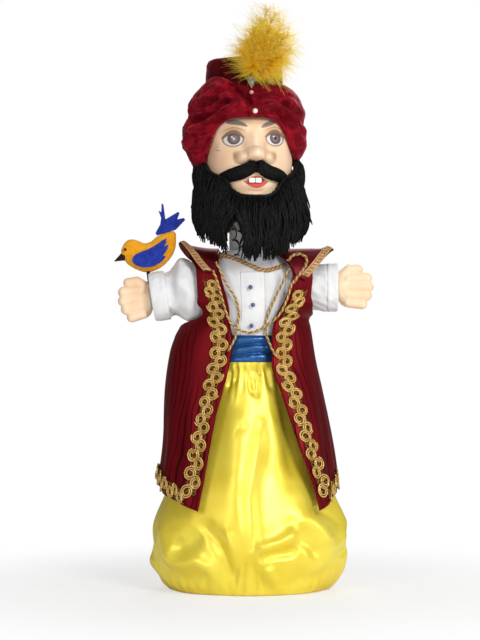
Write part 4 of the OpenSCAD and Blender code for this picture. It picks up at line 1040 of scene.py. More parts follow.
LEFT_FRONT_X = [
    (-3, 30), (0, 31), (2, 31), (4, 31), (5, 29), (6, 26), (7, 23), (8, 21), (9, 20), (10, 20),
    (11, 18.5), (12, 17),
]
RIGHT_FRONT_X = [
    (-3, 30), (0, 31), (2, 33), (3, 38), (4, 44), (5, 46), (6, 42.6), (7, 39.5), (8, 35), (9, 31),
    (10, 28), (11, 25.5), (12, 24),
]
COAT_STEP = 10
WAIST_STEP = 12
COAT_T = 1.7


def below_waist(step):
    return WAIST_Z - (step - WAIST_STEP) * COAT_STEP


def step_at(z):
    """Step of a height below the waist."""
    return WAIST_STEP + (WAIST_Z - z) / COAT_STEP


def front_hem_step(left, share):
    """Step of the hem, from the front edge to the side seam."""
    return step_at(mix(FRONT_HEM_Z, LEFT_SIDE_HEM_Z if left else RIGHT_SIDE_HEM_Z, share))


def coat_half_width(left, step):
    upper = curve(np.abs(step), UPPER_LEFT_W if left else UPPER_RIGHT_W)
    lower = curve(below_waist(step), COAT_LEFT_W if left else COAT_RIGHT_W)
    return np.where(step <= WAIST_STEP, upper, lower)


def coat_side_width(is_left, step):
    return np.where(is_left, coat_half_width(True, step), coat_half_width(False, step))


def coat_roundness(step):
    return mix(1.0, SQUARENESS, smooth((step - 8.5) / 3.5))


def coat_point(angle, step):
    """Point of the coat's outer face. A step below 0 is behind the shoulder ridge."""
    angle, step = np.broadcast_arrays(np.asarray(angle, float), np.asarray(step, float))
    z = below_waist(step)
    path = curve(np.abs(step), COAT_PATH)
    drop = np.clip((WAIST_Z - z) / 120, 0, 1)
    wave = 1.8 * cos_d(7 * angle + 50) * drop * np.abs(sin_d(angle))
    wave = wave + 1.0 * cos_d(19 * angle + 30 * drop) * drop**2
    is_upper = step <= WAIST_STEP
    wave = np.where(is_upper, 0, wave)
    half_w = coat_side_width(sin_d(angle) < 0, step) + wave
    half_d = np.where(is_upper, path[..., 1], curve(z, COAT_D)) + wave
    power = coat_roundness(step)
    over = np.where(step < 0, 1, -1)
    x = half_w * signed_power(sin_d(angle), power)
    y = over * half_d * signed_power(cos_d(angle), power)
    return np.stack([x, y, np.where(is_upper, path[..., 0], z)], -1)


def coat_edge_angle(left, step, inset):
    """Angle of a line that keeps a distance from a front edge."""
    step = np.asarray(step, float)
    z = below_waist(step)
    upper_x = curve(step, LEFT_FRONT_X if left else RIGHT_FRONT_X) + inset
    lower_x = np.abs(curve(z, LEFT_EDGE_X if left else RIGHT_EDGE_X))
    half_w = coat_half_width(left, step)
    is_upper = step <= WAIST_STEP
    x = np.where(is_upper, upper_x, lower_x)
    angle = np.degrees(np.arcsin(np.clip(x / half_w, 0, 1) ** (1 / coat_roundness(step))))
    half_d = curve(z, COAT_D)

    def mm_per_degree(a):
        return np.hypot(half_w * cos_d(a), half_d * sin_d(a)) * math.pi / 180

    shifted = angle + inset / mm_per_degree(angle + inset / 2 / mm_per_degree(angle))
    angle = np.where(is_upper, angle, shifted)
    return -angle if left else angle


def coat_front(name, left, flat, area, *nodes):
    rows, cols = 120, 36
    first_step = -2.95
    share = np.linspace(0, 1, cols)[None, :]
    step = mix(first_step, front_hem_step(left, share), np.linspace(0, 1, rows)[:, None])
    armhole = LEFT_ARMHOLE if left else RIGHT_ARMHOLE
    side = np.where(step <= WAIST_STEP, curve(np.abs(step), armhole), SIDE_SEAM)
    side = -side if left else side
    angle = mix(coat_edge_angle(left, step, 0.0), side, share)
    grid = coat_point(angle, step)
    if not left:
        grid = grid[:, ::-1]
    piece = thicken(grid_piece(name, grid, COAT_SATIN), COAT_T)
    put_over_waist(piece, "coat_satin", *nodes)


def coat_back():
    rows, cols = 110, 90
    first_step = 2.9
    share = np.linspace(0, 1, cols)[None, :]
    side_z = mix(LEFT_SIDE_HEM_Z, RIGHT_SIDE_HEM_Z, share)
    hem_z = mix(side_z, BACK_HEM_Z, np.sin(math.pi * share))
    step = mix(first_step, step_at(hem_z), np.linspace(0, 1, rows)[:, None])
    armhole = np.where(share < 0.5, curve(step, LEFT_BACK_ARMHOLE), curve(step, RIGHT_BACK_ARMHOLE))
    reach = np.where(step <= WAIST_STEP, armhole, SIDE_SEAM)
    grid = coat_point(mix(-1, 1, share) * reach, step)
    grid[..., 1] *= -1
    piece = thicken(grid_piece("coat_back_satin", grid, COAT_SATIN), COAT_T)
    put_over_waist(piece, "coat_satin", "coat_back", "coat_back_skirt")


def make_coat():
    coat_front("coat_left_satin", True, (0.095, 0.32), 0.0197, "coat_left_front", "coat_left_skirt")
    coat_front("coat_right_satin", False, (0.07, 0.32), 0.0155, "coat_right_front", "coat_right_skirt")
    coat_back()


# Braids of the coat

# Distance of the braid's middle from the front edge: a bare strip and half the braid
BRAID_MIDDLE = 4.5 + 17 / 2


class BraidLine:
    """Places on the coat by length along a braid and distance to one side of its middle."""

    def __init__(self, point_at, parameters):
        self.point_at = point_at
        self.parameters = parameters
        self.lengths = lengths_along(point_at(parameters, np.zeros_like(parameters)))
        self.length = self.lengths[-1]

    def at(self, along, aside, height):
        place = np.interp(along, self.lengths, self.parameters)
        nudge = 0.02 * (self.parameters[-1] - self.parameters[0]) / len(self.parameters)
        here = self.point_at(place, aside)
        ahead = self.point_at(place + nudge, aside) - here
        sideways = self.point_at(place, aside + 0.2) - here
        normal = np.cross(ahead, sideways)
        normal /= np.linalg.norm(normal, axis=-1, keepdims=True)
        from_middle = here - np.stack([0 * along, 0 * along, np.minimum(here[:, 2], 320)], -1)
        normal *= np.where(np.sum(normal * from_middle, axis=-1, keepdims=True) < 0, -1, 1)
        return here + normal * np.broadcast_to(height, along.shape)[:, None]


def front_braid_line(left, first):
    def point_at(step, aside):
        return coat_point(coat_edge_angle(left, step, BRAID_MIDDLE + aside), step)

    return BraidLine(point_at, np.linspace(first, step_at(FRONT_HEM_Z + 9), 400))


def hem_braid_line(left):
    sign = -1 if left else 1

    def point_at(share, aside):
        hem_step = front_hem_step(left, share)
        edge = coat_edge_angle(left, hem_step - 1.2, 12.0)
        angle = mix(edge, sign * (SIDE_SEAM - 1), share)
        return coat_point(angle, hem_step - (10.5 + aside) / COAT_STEP)

    return BraidLine(point_at, np.linspace(0.05, 1, 200))


def coil_strands(line, start, end, growth):
    """Round coils of gold thread in two staggered rows, which overlap as scales do.

    Each has a small open eye. The coils grow along the braid by the given share."""
    strands = Strands()
    half_pitch = 7.6
    reach = 2.9
    eye_r = 2.2
    outer_r = 6.6
    thread_r = 0.78
    turns = 2.1
    tilt = 0.2
    spin = np.linspace(0, 2 * math.pi * turns, 62)
    radius = np.linspace(eye_r, outer_r - thread_r, len(spin))
    spread = end - start - (2 + growth) * outer_r
    count = int(spread / (half_pitch * (1 + growth / 2))) + 1
    for k in range(count):
        side = 1 if k % 2 else -1
        share = k / (count - 1)
        size = 1 + growth * share
        forward = size * radius * np.cos(side * spin + 0.4 * k)
        along = start + outer_r + spread * (share + growth / 2 * share**2) / (1 + growth / 2) + forward
        aside = size * (side * reach + radius * np.sin(side * spin + 0.4 * k))
        height = 2.0 - tilt * forward + 0.2 * np.sin(9 * spin)
        strands.add(line.at(np.clip(along, 0.2, line.length - 0.2), aside, height), thread_r, sides=6)
    return strands


def braid_base(line, start, end):
    """Threads that swing from side to side under the coils and hold them together."""
    strands = Strands()
    threads = 4
    pitch = 15.8
    along = np.linspace(start, end, int(end - start))
    for k in range(threads):
        turn = 2 * math.pi * (along / pitch + k / threads)
        strands.add(line.at(along, 6.2 * np.sin(turn), 0.75 + 0.2 * np.cos(2 * turn)), 0.62)
    return strands


def make_coat_braids():
    jobs = [
        ("braid_left", front_braid_line(True, 5.15), 0.28, ("left_braid", "left_braid_skirt")),
        ("braid_right", front_braid_line(False, 6.1), 0.28, ("right_braid", "right_braid_skirt")),
        ("braid_left_hem", hem_braid_line(True), 0.1, ("left_hem_braid",)),
        ("braid_right_hem", hem_braid_line(False), 0.1, ("right_hem_braid",)),
    ]
    for name, line, growth, nodes in jobs:
        coils = coil_strands(line, 2, line.length - 2, growth)
        put_over_waist(coils.piece(name + "_coils", GOLD_BRAID), "gold_braid", *nodes)
        # The base's dark gold is partly painted shade in the gaps between the coils.
        base = braid_base(line, 3, line.length - 7)
        put_over_waist(base.piece(name + "_base", BRAID_BASE), "gold_braid")


# Collar with its cable braid

# Stations from the right wing round the neck to the left one: step and place across on the coat at the neck,
# the same at the outer edge, and the lift of that edge
COLLAR_STATIONS = [
    (5, 48, 5.5, 58, 0), (4.2, 45, 4.3, 68, 0), (3, 39, 3, 78, 0), (1.6, 34, 1.4, 86, 0),
    (0.3, 31.5, 0, 89.4, 0), (-1.2, 30.5, -1.6, 82, 0), (-2.2, 26, -3.2, 64, 0), (-2.6, 15, -4.6, 36, 0),
    (-2.7, 0, -5.2, 0, 0),
    (-2.6, -15, -4.6, -36, 0), (-2.2, -26, -3.2, -60, 0), (-1.2, -30.5, -1.6, -71, 3),
    (0.3, -31.5, 0, -74, 7), (1.6, -33, 1.4, -69, 5), (3, -33.5, 2.8, -60, 2), (4, -33, 3.9, -51, 0),
    (4.7, -32, 4.7, -44, 0),
]
COLLAR_LAST = len(COLLAR_STATIONS) - 1
COLLAR_FACE = 3.1


def collar_point(u, t):
    """Point of the coat under the collar: u runs round the neck and t from the neck to the outer edge."""
    u, t = np.broadcast_arrays(np.asarray(u, float), np.asarray(t, float))
    station = curve(u, numbered(COLLAR_STATIONS))
    step = mix(station[..., 0], station[..., 2], t)
    x = mix(station[..., 1], station[..., 3], t)
    half_w = coat_side_width(x < 0, step)
    point = coat_point(np.degrees(np.arcsin(np.clip(x / half_w, -1, 1))), step)
    point[..., 2] += station[..., 4] * t**2
    return point


def collar_reach(u):
    return np.maximum(np.linalg.norm(collar_point(u, 1.0) - collar_point(u, 0.0), axis=-1), 9.75)


def make_collar():
    grid = collar_point(np.linspace(0, COLLAR_LAST, 150)[:, None], np.linspace(0, 1, 16)[None, :])
    piece = thicken(grid_piece("collar_crimson_satin", lifted(grid, COLLAR_FACE), COLLAR_SATIN), 1.6)
    put(piece, "torso", "coat_satin", "collar")


def make_collar_braid():
    """Cable of crossing plies along the collar's outer edge, between two straight cords."""
    def point_at(u, aside):
        return collar_point(u, 0.97 - (3.75 - aside) / collar_reach(u))

    line = BraidLine(point_at, np.linspace(0.25, COLLAR_LAST - 0.2, 500))
    along = np.linspace(0.5, line.length - 0.5, int(line.length / 0.8))
    cable = Strands()
    pitch = 9.0
    plies = 4
    # Every other ply takes the darker gold, painted shade of the twist.
    for k in range(plies):
        turn = 2 * math.pi * (along / pitch + k / plies)
        height = COLLAR_FACE + 1.3 + 0.8 * np.cos(2 * turn)
        cable.add(line.at(along, 2.7 * np.sin(turn), height), 0.95, sides=6, shade=k % 2)
    for aside in (-3.5, 3.5):
        cable.add(line.at(along, np.full_like(along, aside), COLLAR_FACE + 0.9), 0.8, sides=6)
    put(cable.piece("collar_cable_braid", COLLAR_BRAID, SHADED_PLY_GOLD), "torso", "gold_braid", "collar_braid")


# Shirt with its placket and the gold edging of the neckline

# Half width and half depth by height
SHIRT_SIZE = [
    (250, (41.5, 34.5)), (267, (43, 36)), (285, (46, 36.5)), (300, (49, 36.5)), (316, (51, 35)),
    (330, (50, 32)), (340, (46, 29.5)), (347, (39, 27.5)), (352, (32, 26.5)), (356, (27, 26)),
]
SHIRT_HEAD_Z, SHIRT_FOOT_Z = 356, 262
# Height of the neckline by place across
NECKLINE = [(-40, 341), (-34, 346), (-27, 350), (-16, 347.5), (2, 339.5), (16, 334.5), (29, 337.5), (40, 342)]
# Loop of the edging on the right of the collar: steps down the coat and places across
COLLAR_LOOP = [(3.6, 41), (2.8, 46), (2.6, 54), (3.3, 60), (4.2, 59), (5.0, 54), (5.6, 49), (6.0, 46)]


def shirt_point(angle, z, lift=0.0):
    size = curve(z, SHIRT_SIZE) + lift
    return ring_points(angle, size[..., 0], size[..., 1], z)


def shirt_point_x(x, z, lift=0.0):
    return shirt_point(np.degrees(np.arcsin(x / curve(z, SHIRT_SIZE)[..., 0])), z, lift)


def shirt_ripple(x, z):
    return 0.5 * crumple(x, z * 0.5, seed=31, count=6, length=22)


def make_shirt():
    angle, z = turns_and_rows(70, 200, SHIRT_HEAD_Z, SHIRT_FOOT_Z)
    grid = shirt_point(angle, z)
    grid = lifted(grid, shirt_ripple(grid[..., 0] + grid[..., 1], z) - 0.4)
    piece = grid_piece("shirt_white_cotton", grid, SHIRT_COTTON, closed=True)
    put(piece, "torso", "shirt_cotton", "shirt_body")


def make_placket():
    x = np.linspace(17, -8, 26)[None, :]
    z = np.linspace(333, 266, 60)[:, None]
    fold = 1.2 * smooth((x + 8) / 20) + 0.5 * bell(x - 15, 1.6) + 0 * z
    strip = lifted(shirt_point_x(x + 0.5 * np.sin(z / 9), z + 0 * x), fold + shirt_ripple(x, z) * 0.6 - 0.2)
    placket = thicken(grid_piece("shirt_placket_cotton", strip, SHIRT_COTTON), 0.9)
    put(placket, "torso", "shirt_cotton", "shirt_placket")


def make_neckline():
    x = np.linspace(37, -37, 420)
    route = shirt_point_x(x, curve(x, NECKLINE), 1.5)
    edging = Strands()
    # Every other ply of the edging and of its loop takes the darker gold, painted shade of the twist.
    for k, ply in enumerate(twisted(route, plies=4, reach=1.25, pitch=10.0)):
        edging.add(ply, 1.0, sides=6, shade=k % 2)
    loop_steps = along_route(COLLAR_LOOP, 120)
    loop = coat_point(np.degrees(np.arcsin(loop_steps[:, 1] / 90)), loop_steps[:, 0])
    for k, ply in enumerate(twisted(loop + np.array([0, -5.0, 3.0]), plies=2, reach=0.9, pitch=6.0)):
        edging.add(ply, 0.95, sides=6, shade=k)
    put(edging.piece("neckline_gold_edging", COLLAR_BRAID, SHADED_PLY_GOLD), "torso", "gold_braid", "neckline_braid")


# Arms: sleeves, cuffs and hands, drawn along each arm from its shoulder

class Arm:
    """An arm's straight axis from the shoulder, with its droop in degrees. The sign is its side."""

    def __init__(self, name, shoulder, droop, sign):
        self.name = name
        self.shoulder = np.array(shoulder, float)
        self.along = np.array([sign * cos_d(droop), 0, -sin_d(droop)])
        self.up = np.array([sign * sin_d(droop), 0, cos_d(droop)])
        self.front = np.array([0, -1.0, 0])
        self.sign = sign

    def place(self, points):
        """Points of (length along the arm, depth, height over its axis) in the part's frame."""
        points = np.asarray(points, float)
        return (self.shoulder + points[..., :1] * self.along
                - points[..., 1:2] * self.front + points[..., 2:3] * self.up)

    def turned(self, outline, cols, swell):
        """Grid of cloth turned round the arm from (length, radius) points, with its swell added."""
        around = np.linspace(0, 360, cols, endpoint=False) * self.sign
        length = outline[:, :1] * np.ones((1, cols))
        around = around[None, :] * np.ones((len(outline), 1))
        radius = outline[:, 1:] + swell(length, around)
        return self.place(np.stack([length, -radius * sin_d(around), radius * cos_d(around)], -1))

    def at(self, length):
        return tuple((self.shoulder + length * self.along) * MM)


LEFT_ARM = Arm("left", (-57, 0, 314), 9.3, -1)
RIGHT_ARM = Arm("right", (48, 0, 317), 0.0, 1)
# Outlines of the sleeves and the cuffs: length along the arm and radius
LEFT_SLEEVE = [
    (-9, 25), (-3, 29), (3, 32.3), (9, 32.8), (15, 30), (20, 25.6), (24, 23.6), (30, 24.0), (36, 24.3),
    (39, 23.6), (40, 22), (39.5, 20), (42, 17), (46.3, 12.8),
]
RIGHT_SLEEVE = [
    (-9, 22.6), (2, 23.6), (12, 23.8), (22, 23.8), (29, 24.6), (32.8, 25.3), (34.2, 24.4), (37, 22.2),
    (42, 19), (46.3, 12.4),
]
LEFT_CUFF = [
    (28.6, 23.4), (28.8, 25.4), (30.5, 26.3), (34, 26.2), (38, 26.4), (42, 26.0), (44.6, 25.2),
    (45.3, 24.2), (44.4, 23.2), (41, 23.4), (34, 23.6), (28.6, 23.4),
]
RIGHT_CUFF = [
    (34.2, 22.6), (34.4, 24.8), (36, 25.7), (40, 25.4), (43.5, 25.4), (45.3, 25.2), (46, 24.4),
    (45.6, 23.5), (43, 22.9), (38, 22.6), (34.2, 22.6),
]


def left_sleeve_swell(length, around):
    top = np.maximum(cos_d(around), 0) ** 2
    under = np.maximum(-cos_d(around), 0) ** 2
    creases = 2.3 * crumple(np.radians(around) * 26, length, seed=51, count=5, length=27)
    pulled = 1.9 * sin_d(5 * around + 7 * length) * bell(length - 19, 8)
    return 2.5 * top * bell(length - 8, 8) - 2.0 * under * bell(length - 20, 5) + creases + pulled


def right_sleeve_swell(length, around):
    creases = 1.3 * crumple(np.radians(around) * 24, length, seed=53, count=5, length=26)
    return creases + 0.7 * sin_d(4 * around + 5 * length) * bell(length - 22, 10)


def cuff_swell(length, around):
    creases = 0.6 * crumple(np.radians(around) * 25, length * 1.5, seed=57, count=5, length=26)
    return creases + 0.4 * sin_d(3 * around)


def make_sleeve(arm, outline, swell, cuff_outline):
    """Sleeve and cuff. The sleeve's swell is let down to nothing towards its closed end."""
    body = arm.name + "_arm"
    closed_end = outline[-1][0]

    def held_swell(length, around):
        return swell(length, around) * smooth((closed_end - 3 - length) / 8)

    grid = arm.turned(along_route(outline, 70), 120, held_swell)
    sleeve = grid_piece(arm.name + "_sleeve_cotton", grid, SHIRT_COTTON, closed=True)
    arm.at(4)
    arm.at(31)
    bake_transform(sleeve)
    named(sleeve, "shirt_cotton", arm.name + "_upper_sleeve", arm.name + "_sleeve")
    grid = arm.turned(along_route(cuff_outline, 40), 120, cuff_swell)
    cuff = grid_piece(arm.name + "_cuff_cotton", grid, SHIRT_COTTON, closed=True)
    put(cuff, body, "shirt_cotton", arm.name + "_cuff")


# Radius of each finger from the uppermost down, and its reach along the arm
FINGER_RADII = (6.0, 6.2, 6.0, 5.6)
FINGER_REACH = (76.5, 78, 76.5, 72)


def ball_points(place, radius):
    rings, around = 8, 14
    points = []
    for i in range(rings + 1):
        lift = math.pi * (i / rings - 0.5)
        for j in range(around):
            turn = 2 * math.pi * j / around
            points.append((
                place[0] + radius * math.cos(lift) * math.cos(turn),
                place[1] + radius * math.cos(lift) * math.sin(turn),
                place[2] + radius * math.sin(lift)))
    return points


def hand_lumps(curl):
    """Point clouds whose hulls make a hand: palm, fingers and thumb."""
    wrist_r = 12.2
    palm = [
        (length, wrist_r * math.cos(turn), wrist_r * math.sin(turn))
        for length in (46.5, 50.5) for turn in np.linspace(0, 2 * math.pi, 28, endpoint=False)]
    for length, radius, heights in ((57, 10.8, (5, -10)), (66, 8.5, (6, -13))):
        for z in heights:
            palm += ball_points((length, 2, z), radius)
    yield palm
    for f, (radius, reach) in enumerate(zip(FINGER_RADII, FINGER_REACH)):
        z = 10 - 9.1 * f
        root = (57, -5.2, 0.92 * z)
        knuckle = (reach - 3 * curl, -5.6, z)
        tip = (reach + 1 - 3 * curl, 1 + 3 * curl, z)
        yield ball_points(root, radius - 0.4) + ball_points(knuckle, radius)
        yield ball_points(knuckle, radius) + ball_points(tip, radius - 0.4)
    thumb_joint = (58, -3, 18.5)
    yield ball_points((51, -2, 11), 7) + ball_points(thumb_joint, 5.8)
    yield ball_points(thumb_joint, 5.8) + ball_points((67.5, -3, 19.2), 5.2)


def make_hand(arm, curl, material):
    work = bmesh.new()
    for lump in hand_lumps(curl):
        points = arm.place(np.array(lump)) * MM
        added = [work.verts.new(tuple(p)) for p in points]
        bmesh.ops.convex_hull(work, input=added)
    loose = [v for v in work.verts if not v.link_faces]
    bmesh.ops.delete(work, geom=loose, context="VERTS")
    bmesh.ops.recalc_face_normals(work, faces=work.faces)
    piece = worked_object(arm.name + "_hand_cast", work, material, True)
    modify(piece, "Join", "REMESH", mode="VOXEL", voxel_size=0.7 * MM, use_smooth_shade=True)
    modify(piece, "Soften", "SMOOTH", factor=0.6, iterations=3)
    put(piece, arm.name + "_arm", "skin", arm.name + "_hand")


def make_arms():
    make_sleeve(LEFT_ARM, LEFT_SLEEVE, left_sleeve_swell, LEFT_CUFF)
    make_sleeve(RIGHT_ARM, RIGHT_SLEEVE, right_sleeve_swell, RIGHT_CUFF)
    hand_skin = painted_skin("cast hand", [])
    make_hand(LEFT_ARM, curl=1.0, material=hand_skin)
    make_hand(RIGHT_ARM, curl=0.2, material=hand_skin)


# Neck

def make_neck():
    band = [(18.7, 385.2), (19.6, 385.5), (20.2, 384), (20.2, 366), (20.2, 349.3), (19.6, 349), (18.7, 349.3),
            (18.7, 366), (18.7, 385.2)]
    neck = revolved("neck_band_cotton", band, SHIRT_COTTON, wave=0.08, waves=22)
    put(neck, "neck", "shirt_cotton", "neck_band")
    upright = (0, 0, 1)
    tie_r = 21.6
    turn = np.linspace(0, 360, 240)
    ring = ring_points(turn, tie_r, tie_r, 376)
    tie = Strands()
    for ply in twisted(ring, plies=2, reach=0.55, pitch=4.8, beside=upright):
        tie.add(ply, 0.75, sides=6, beside=upright)
    put(tie.piece("neck_tie_cord", TIE_CORD), "neck", "tie_cord", "neck_tie")


# Head and painted face. Places are millimetres to the viewer's right of its middle and up from the floor.

FACE_TURN = 8
# Half width, depth to the front and depth to the back, by height
HEAD_SIZE = [
    (356, (18, 18, 18)), (390, (18, 18, 18)), (397, (24, 28, 22)), (403, (31, 37, 28)),
    (412, (38, 43, 34)), (428, (44, 46, 41)), (450, (46, 47, 46)), (466, (45, 47, 46)),
    (485, (43, 45, 43)), (500, (34, 33, 33)), (508, (18, 18, 18)),
]

# Soft forms of the face, the second list on both sides: place across and up, rise, width and height
FACE_FORMS = [
    (0, 454, 11, 11, 10), (0, 468, 6, 6.5, 11), (0, 433, 5, 17, 10), (0, 427, -3, 10, 3),
    (0, 421, 3, 11, 3.5), (0, 409, 4, 12, 7),
]
PAIRED_FORMS = [
    (13, 450.5, 4, 8, 7), (27, 446, 5, 13, 13), (18, 483, 3.5, 13, 4.5), (21.3, 471, -3.5, 10, 7.5),
    (21.3, 470.5, 3.2, 7.5, 5.5),
]

# Round ball and wings of the nose, in the same order
NOSE_BALLS = [(0, 453, 8.5, 13, 9.5), (-14, 450.5, 5, 8, 7), (14, 450.5, 5, 8, 7)]


def face_swell(x, z):
    total = 0.0
    for side, height, rise, wide, tall in NOSE_BALLS:
        inside = 1 - ((x - side) / wide) ** 2 - ((z - height) / tall) ** 2
        total = total + (rise * np.clip(inside, 0, 1) ** 0.75) ** 3
    total = total ** (1 / 3)
    for across, forms in ((x, FACE_FORMS), (np.abs(x), PAIRED_FORMS)):
        for side, height, rise, wide, tall in forms:
            total = total + rise * bell(across - side, wide) * bell(z - height, tall)
    return total


def head_point(a, z):
    a, z = np.broadcast_arrays(np.asarray(a, float), np.asarray(z, float))
    size = curve(z, HEAD_SIZE)
    x = size[..., 0] * sin_d(a)
    c = cos_d(a)
    front = -size[..., 1] * c - face_swell(x, z) * np.minimum(1, 3 * c)
    return np.stack([x, np.where(c > 0, front, -size[..., 2] * c), z], -1)


def face_y(x, z):
    return head_point(np.degrees(np.arcsin(np.clip(x / curve(z, HEAD_SIZE)[..., 0], -1, 1))), z)[..., 1]


def head_radius(a, z):
    size = curve(z, HEAD_SIZE)
    depth = np.where(cos_d(a) > 0, size[..., 1], size[..., 2])
    return 1 / np.sqrt((sin_d(a) / size[..., 0]) ** 2 + (cos_d(a) / depth) ** 2)


def turn_face(points):
    points = np.asarray(points, float)
    c, s = cos_d(FACE_TURN), sin_d(FACE_TURN)
    x, y = points[..., 0], points[..., 1]
    return np.stack([x * c - y * s, x * s + y * c, points[..., 2]], -1)


def spot(across, up, half_w, half_h, shade, strength=1.0, softness=0.12):
    values = {"Across": across, "Up": up, "Half Width": half_w, "Half Height": half_h, "Softness": softness}
    return SPOT, values, shade, strength


def stroke(across, up, half_w, rise, tilt, half_t, shade, strength=1.0, softness=0.5):
    values = {
        "Across": across, "Up": up, "Half Width": half_w, "Rise": rise, "Tilt": tilt,
        "Half Thickness": half_t, "Softness": softness,
    }
    return STROKE, values, shade, strength


# This tan is painted shade, under the nose and the lip, beside the nose, over the eyes, at the sides of the
# face and under the turban.
SHADE_TAN = (0.50, 0.25, 0.11)
LINE_BROWN = (0.12, 0.075, 0.055)
BROW_GREY = (0.20, 0.17, 0.16)
LIP_RED = (0.62, 0.075, 0.06)
BLUSH = (0.92, 0.52, 0.36)
NOSTRIL = (0.22, 0.09, 0.05)
# A painted highlight on the nose's ball.
PAINTED_NOSE_HIGHLIGHT = (0.97, 0.74, 0.52)

# Soft spots on both sides of the middle: place across and up, half width and height, shade, strength and
# softness. Most are painted shade: under the nose, beside its wings with a dark line at their creases,
# between the wings and the ball, at the sides of the bridge and of the face, and on the forehead under the
# turban. One is a painted highlight on the nose's ball.
SKIN_SPOTS = [
    (0, 446.5, 19, 6, SHADE_TAN, 0.5, 0.9),
    (19.5, 451, 4.5, 8, SHADE_TAN, 0.7, 0.9),
    (10.5, 464, 5, 12, SHADE_TAN, 0.45, 0.9),
    (21.5, 452, 1.8, 6, LINE_BROWN, 0.4, 0.9),
    (9.0, 452, 2.2, 5, SHADE_TAN, 0.55, 0.9),
    (6.8, 446.8, 2.6, 1.8, NOSTRIL, 0.8, 0.6),
    (0, 455, 7, 5.5, PAINTED_NOSE_HIGHLIGHT, 0.7, 0.9),
    (31, 449, 11, 10, BLUSH, 0.4, 0.9),
    (42, 460, 8, 26, SHADE_TAN, 0.45, 0.9),
    (0, 492, 40, 8, SHADE_TAN, 0.5, 0.9),
]


def eye_layers(across, up, pupil_shade, pupil_r):
    iris = across + 0.6
    return [
        # A tan spot over the eye is painted shade under the brow.
        spot(across, up + 6, 15, 11, SHADE_TAN, 0.8, 0.7),
        spot(across, up, 11.0, 7.9, LINE_BROWN, 0.95, 0.10),
        spot(across, up - 0.2, 9.8, 6.8, (0.70, 0.65, 0.61), 1.0, 0.10),
        spot(iris, up + 0.9, 6.7, 6.6, (0.085, 0.065, 0.065), 1.0, 0.12),
        spot(iris, up + 0.9, 5.7, 5.6, (0.16, 0.115, 0.112), 1.0, 0.35),
        spot(iris, up + 0.4, 3.4, 3.4, (0.31, 0.23, 0.22), 0.8, 0.6),
        spot(iris, up + 0.7, pupil_r, pupil_r, pupil_shade, 1.0, 0.3),
        # A white dot on the iris is a painted highlight.
        spot(iris - 1.9, up + 2.6, 1.1, 0.9, (0.95, 0.93, 0.90), 0.95, 0.4),
        stroke(across, up + 7.6, 11.6, -6.4, 0.0, 2.2, (0.24, 0.135, 0.085), 0.95, 0.35),
        stroke(across, up + 5.7, 11.0, -5.6, 0.0, 0.9, LINE_BROWN, 0.95, 0.4),
        stroke(across, up + 12.0, 13.0, -5.4, 0.0, 0.8, LINE_BROWN, 0.5),
        stroke(across, up - 8.2, 9.8, 4.6, 0.0, 0.6, LINE_BROWN, 0.4),
    ]


def face_layers():
    layers = []
    for across, *rest in SKIN_SPOTS:
        for side in ((-1, 1) if across else (1,)):
            layers.append(spot(side * across, *rest))
    # The left eye's pale grey pupil is a painted reflection.
    layers += eye_layers(-21.7, 469.5, (0.62, 0.58, 0.56), 1.3)
    layers += eye_layers(21.9, 470.5, (0.03, 0.02, 0.02), 1.9)
    layers += [
        stroke(-18.0, 487.0, 10.5, -2.2, -2.2, 3.4, BROW_GREY, 0.95, 0.9),
        stroke(15.0, 486.0, 8.6, -0.8, 3.4, 3.3, BROW_GREY, 0.95, 0.9),
        stroke(-36.5, 459.0, 2.6, 0.3, -0.8, 0.6, LINE_BROWN, 0.75, 0.3),
        stroke(-36.8, 462.2, 2.4, 0.2, 0.4, 0.5, LINE_BROWN, 0.65, 0.3),
        stroke(-36.0, 465.4, 2.0, 0.1, 1.0, 0.45, LINE_BROWN, 0.5, 0.3),
        spot(1.5, 426.5, 11.5, 4.0, (0.16, 0.012, 0.012), 0.95, 0.3),
        stroke(1.5, 421.8, 13.0, 4.8, 0.0, 2.9, LIP_RED, 1.0, 0.6),
        stroke(1.5, 430.6, 8.0, -2.2, 0.0, 1.4, LIP_RED, 0.9, 0.6),
        # Painted shade under the lower lip.
        stroke(1.5, 416.5, 10.0, 2.0, 0.0, 1.4, SHADE_TAN, 0.5, 1.2),
    ]
    return layers


def make_head():
    crown_z = 508.0
    unpainted = 500.0
    angle = 180 * signed_power(np.linspace(1, -1, 170, endpoint=False), 1.5)
    runs = [(crown_z, 492, 16), (491.2, 404, 138), (402, 356, 16)]
    z = np.concatenate([np.linspace(*run) for run in runs])
    grid = head_point(angle[None, :], z[:, None])
    behind = np.where(cos_d(angle) < 0, unpainted, 0.0)[None, :]
    place = np.stack([grid[..., 0] + behind, grid[..., 2]], -1)
    top = np.broadcast_to(np.array([0, 0, crown_z]), grid[:1].shape)
    grid = np.concatenate([top, grid])
    place = np.concatenate([place[:1], place])
    piece = grid_piece("head_cast", turn_face(grid), painted_skin("painted face", face_layers()), True, place)
    put(piece, "head", "skin", "head")


def rounded_block(middle, half):
    """Grid of a soft-edged block."""
    square = 0.35
    lat = np.linspace(90, -90, 19)[:, None]
    lon = np.linspace(180, -180, 36, endpoint=False)[None, :]
    x = signed_power(cos_d(lat), square) * signed_power(sin_d(lon), square)
    y = -signed_power(cos_d(lat), square) * signed_power(cos_d(lon), square)
    z = signed_power(sin_d(lat), square) + 0 * lon
    return np.array(middle) + np.array(half) * np.stack([x, y, z], -1)


def make_teeth():
    z = 427.0
    y = float(face_y(7.0, z)) - 2.9
    for name, side, nodes in (("left", -1, ("teeth",)), ("right", 1, ())):
        block = rounded_block((side * 3.4, y, z), (3.2, 0.9, 2.6))
        tooth = grid_piece("tooth_" + name, turn_face(block), TOOTH_WHITE, closed=True)
        put(tooth, "head", "tooth_white", *nodes)


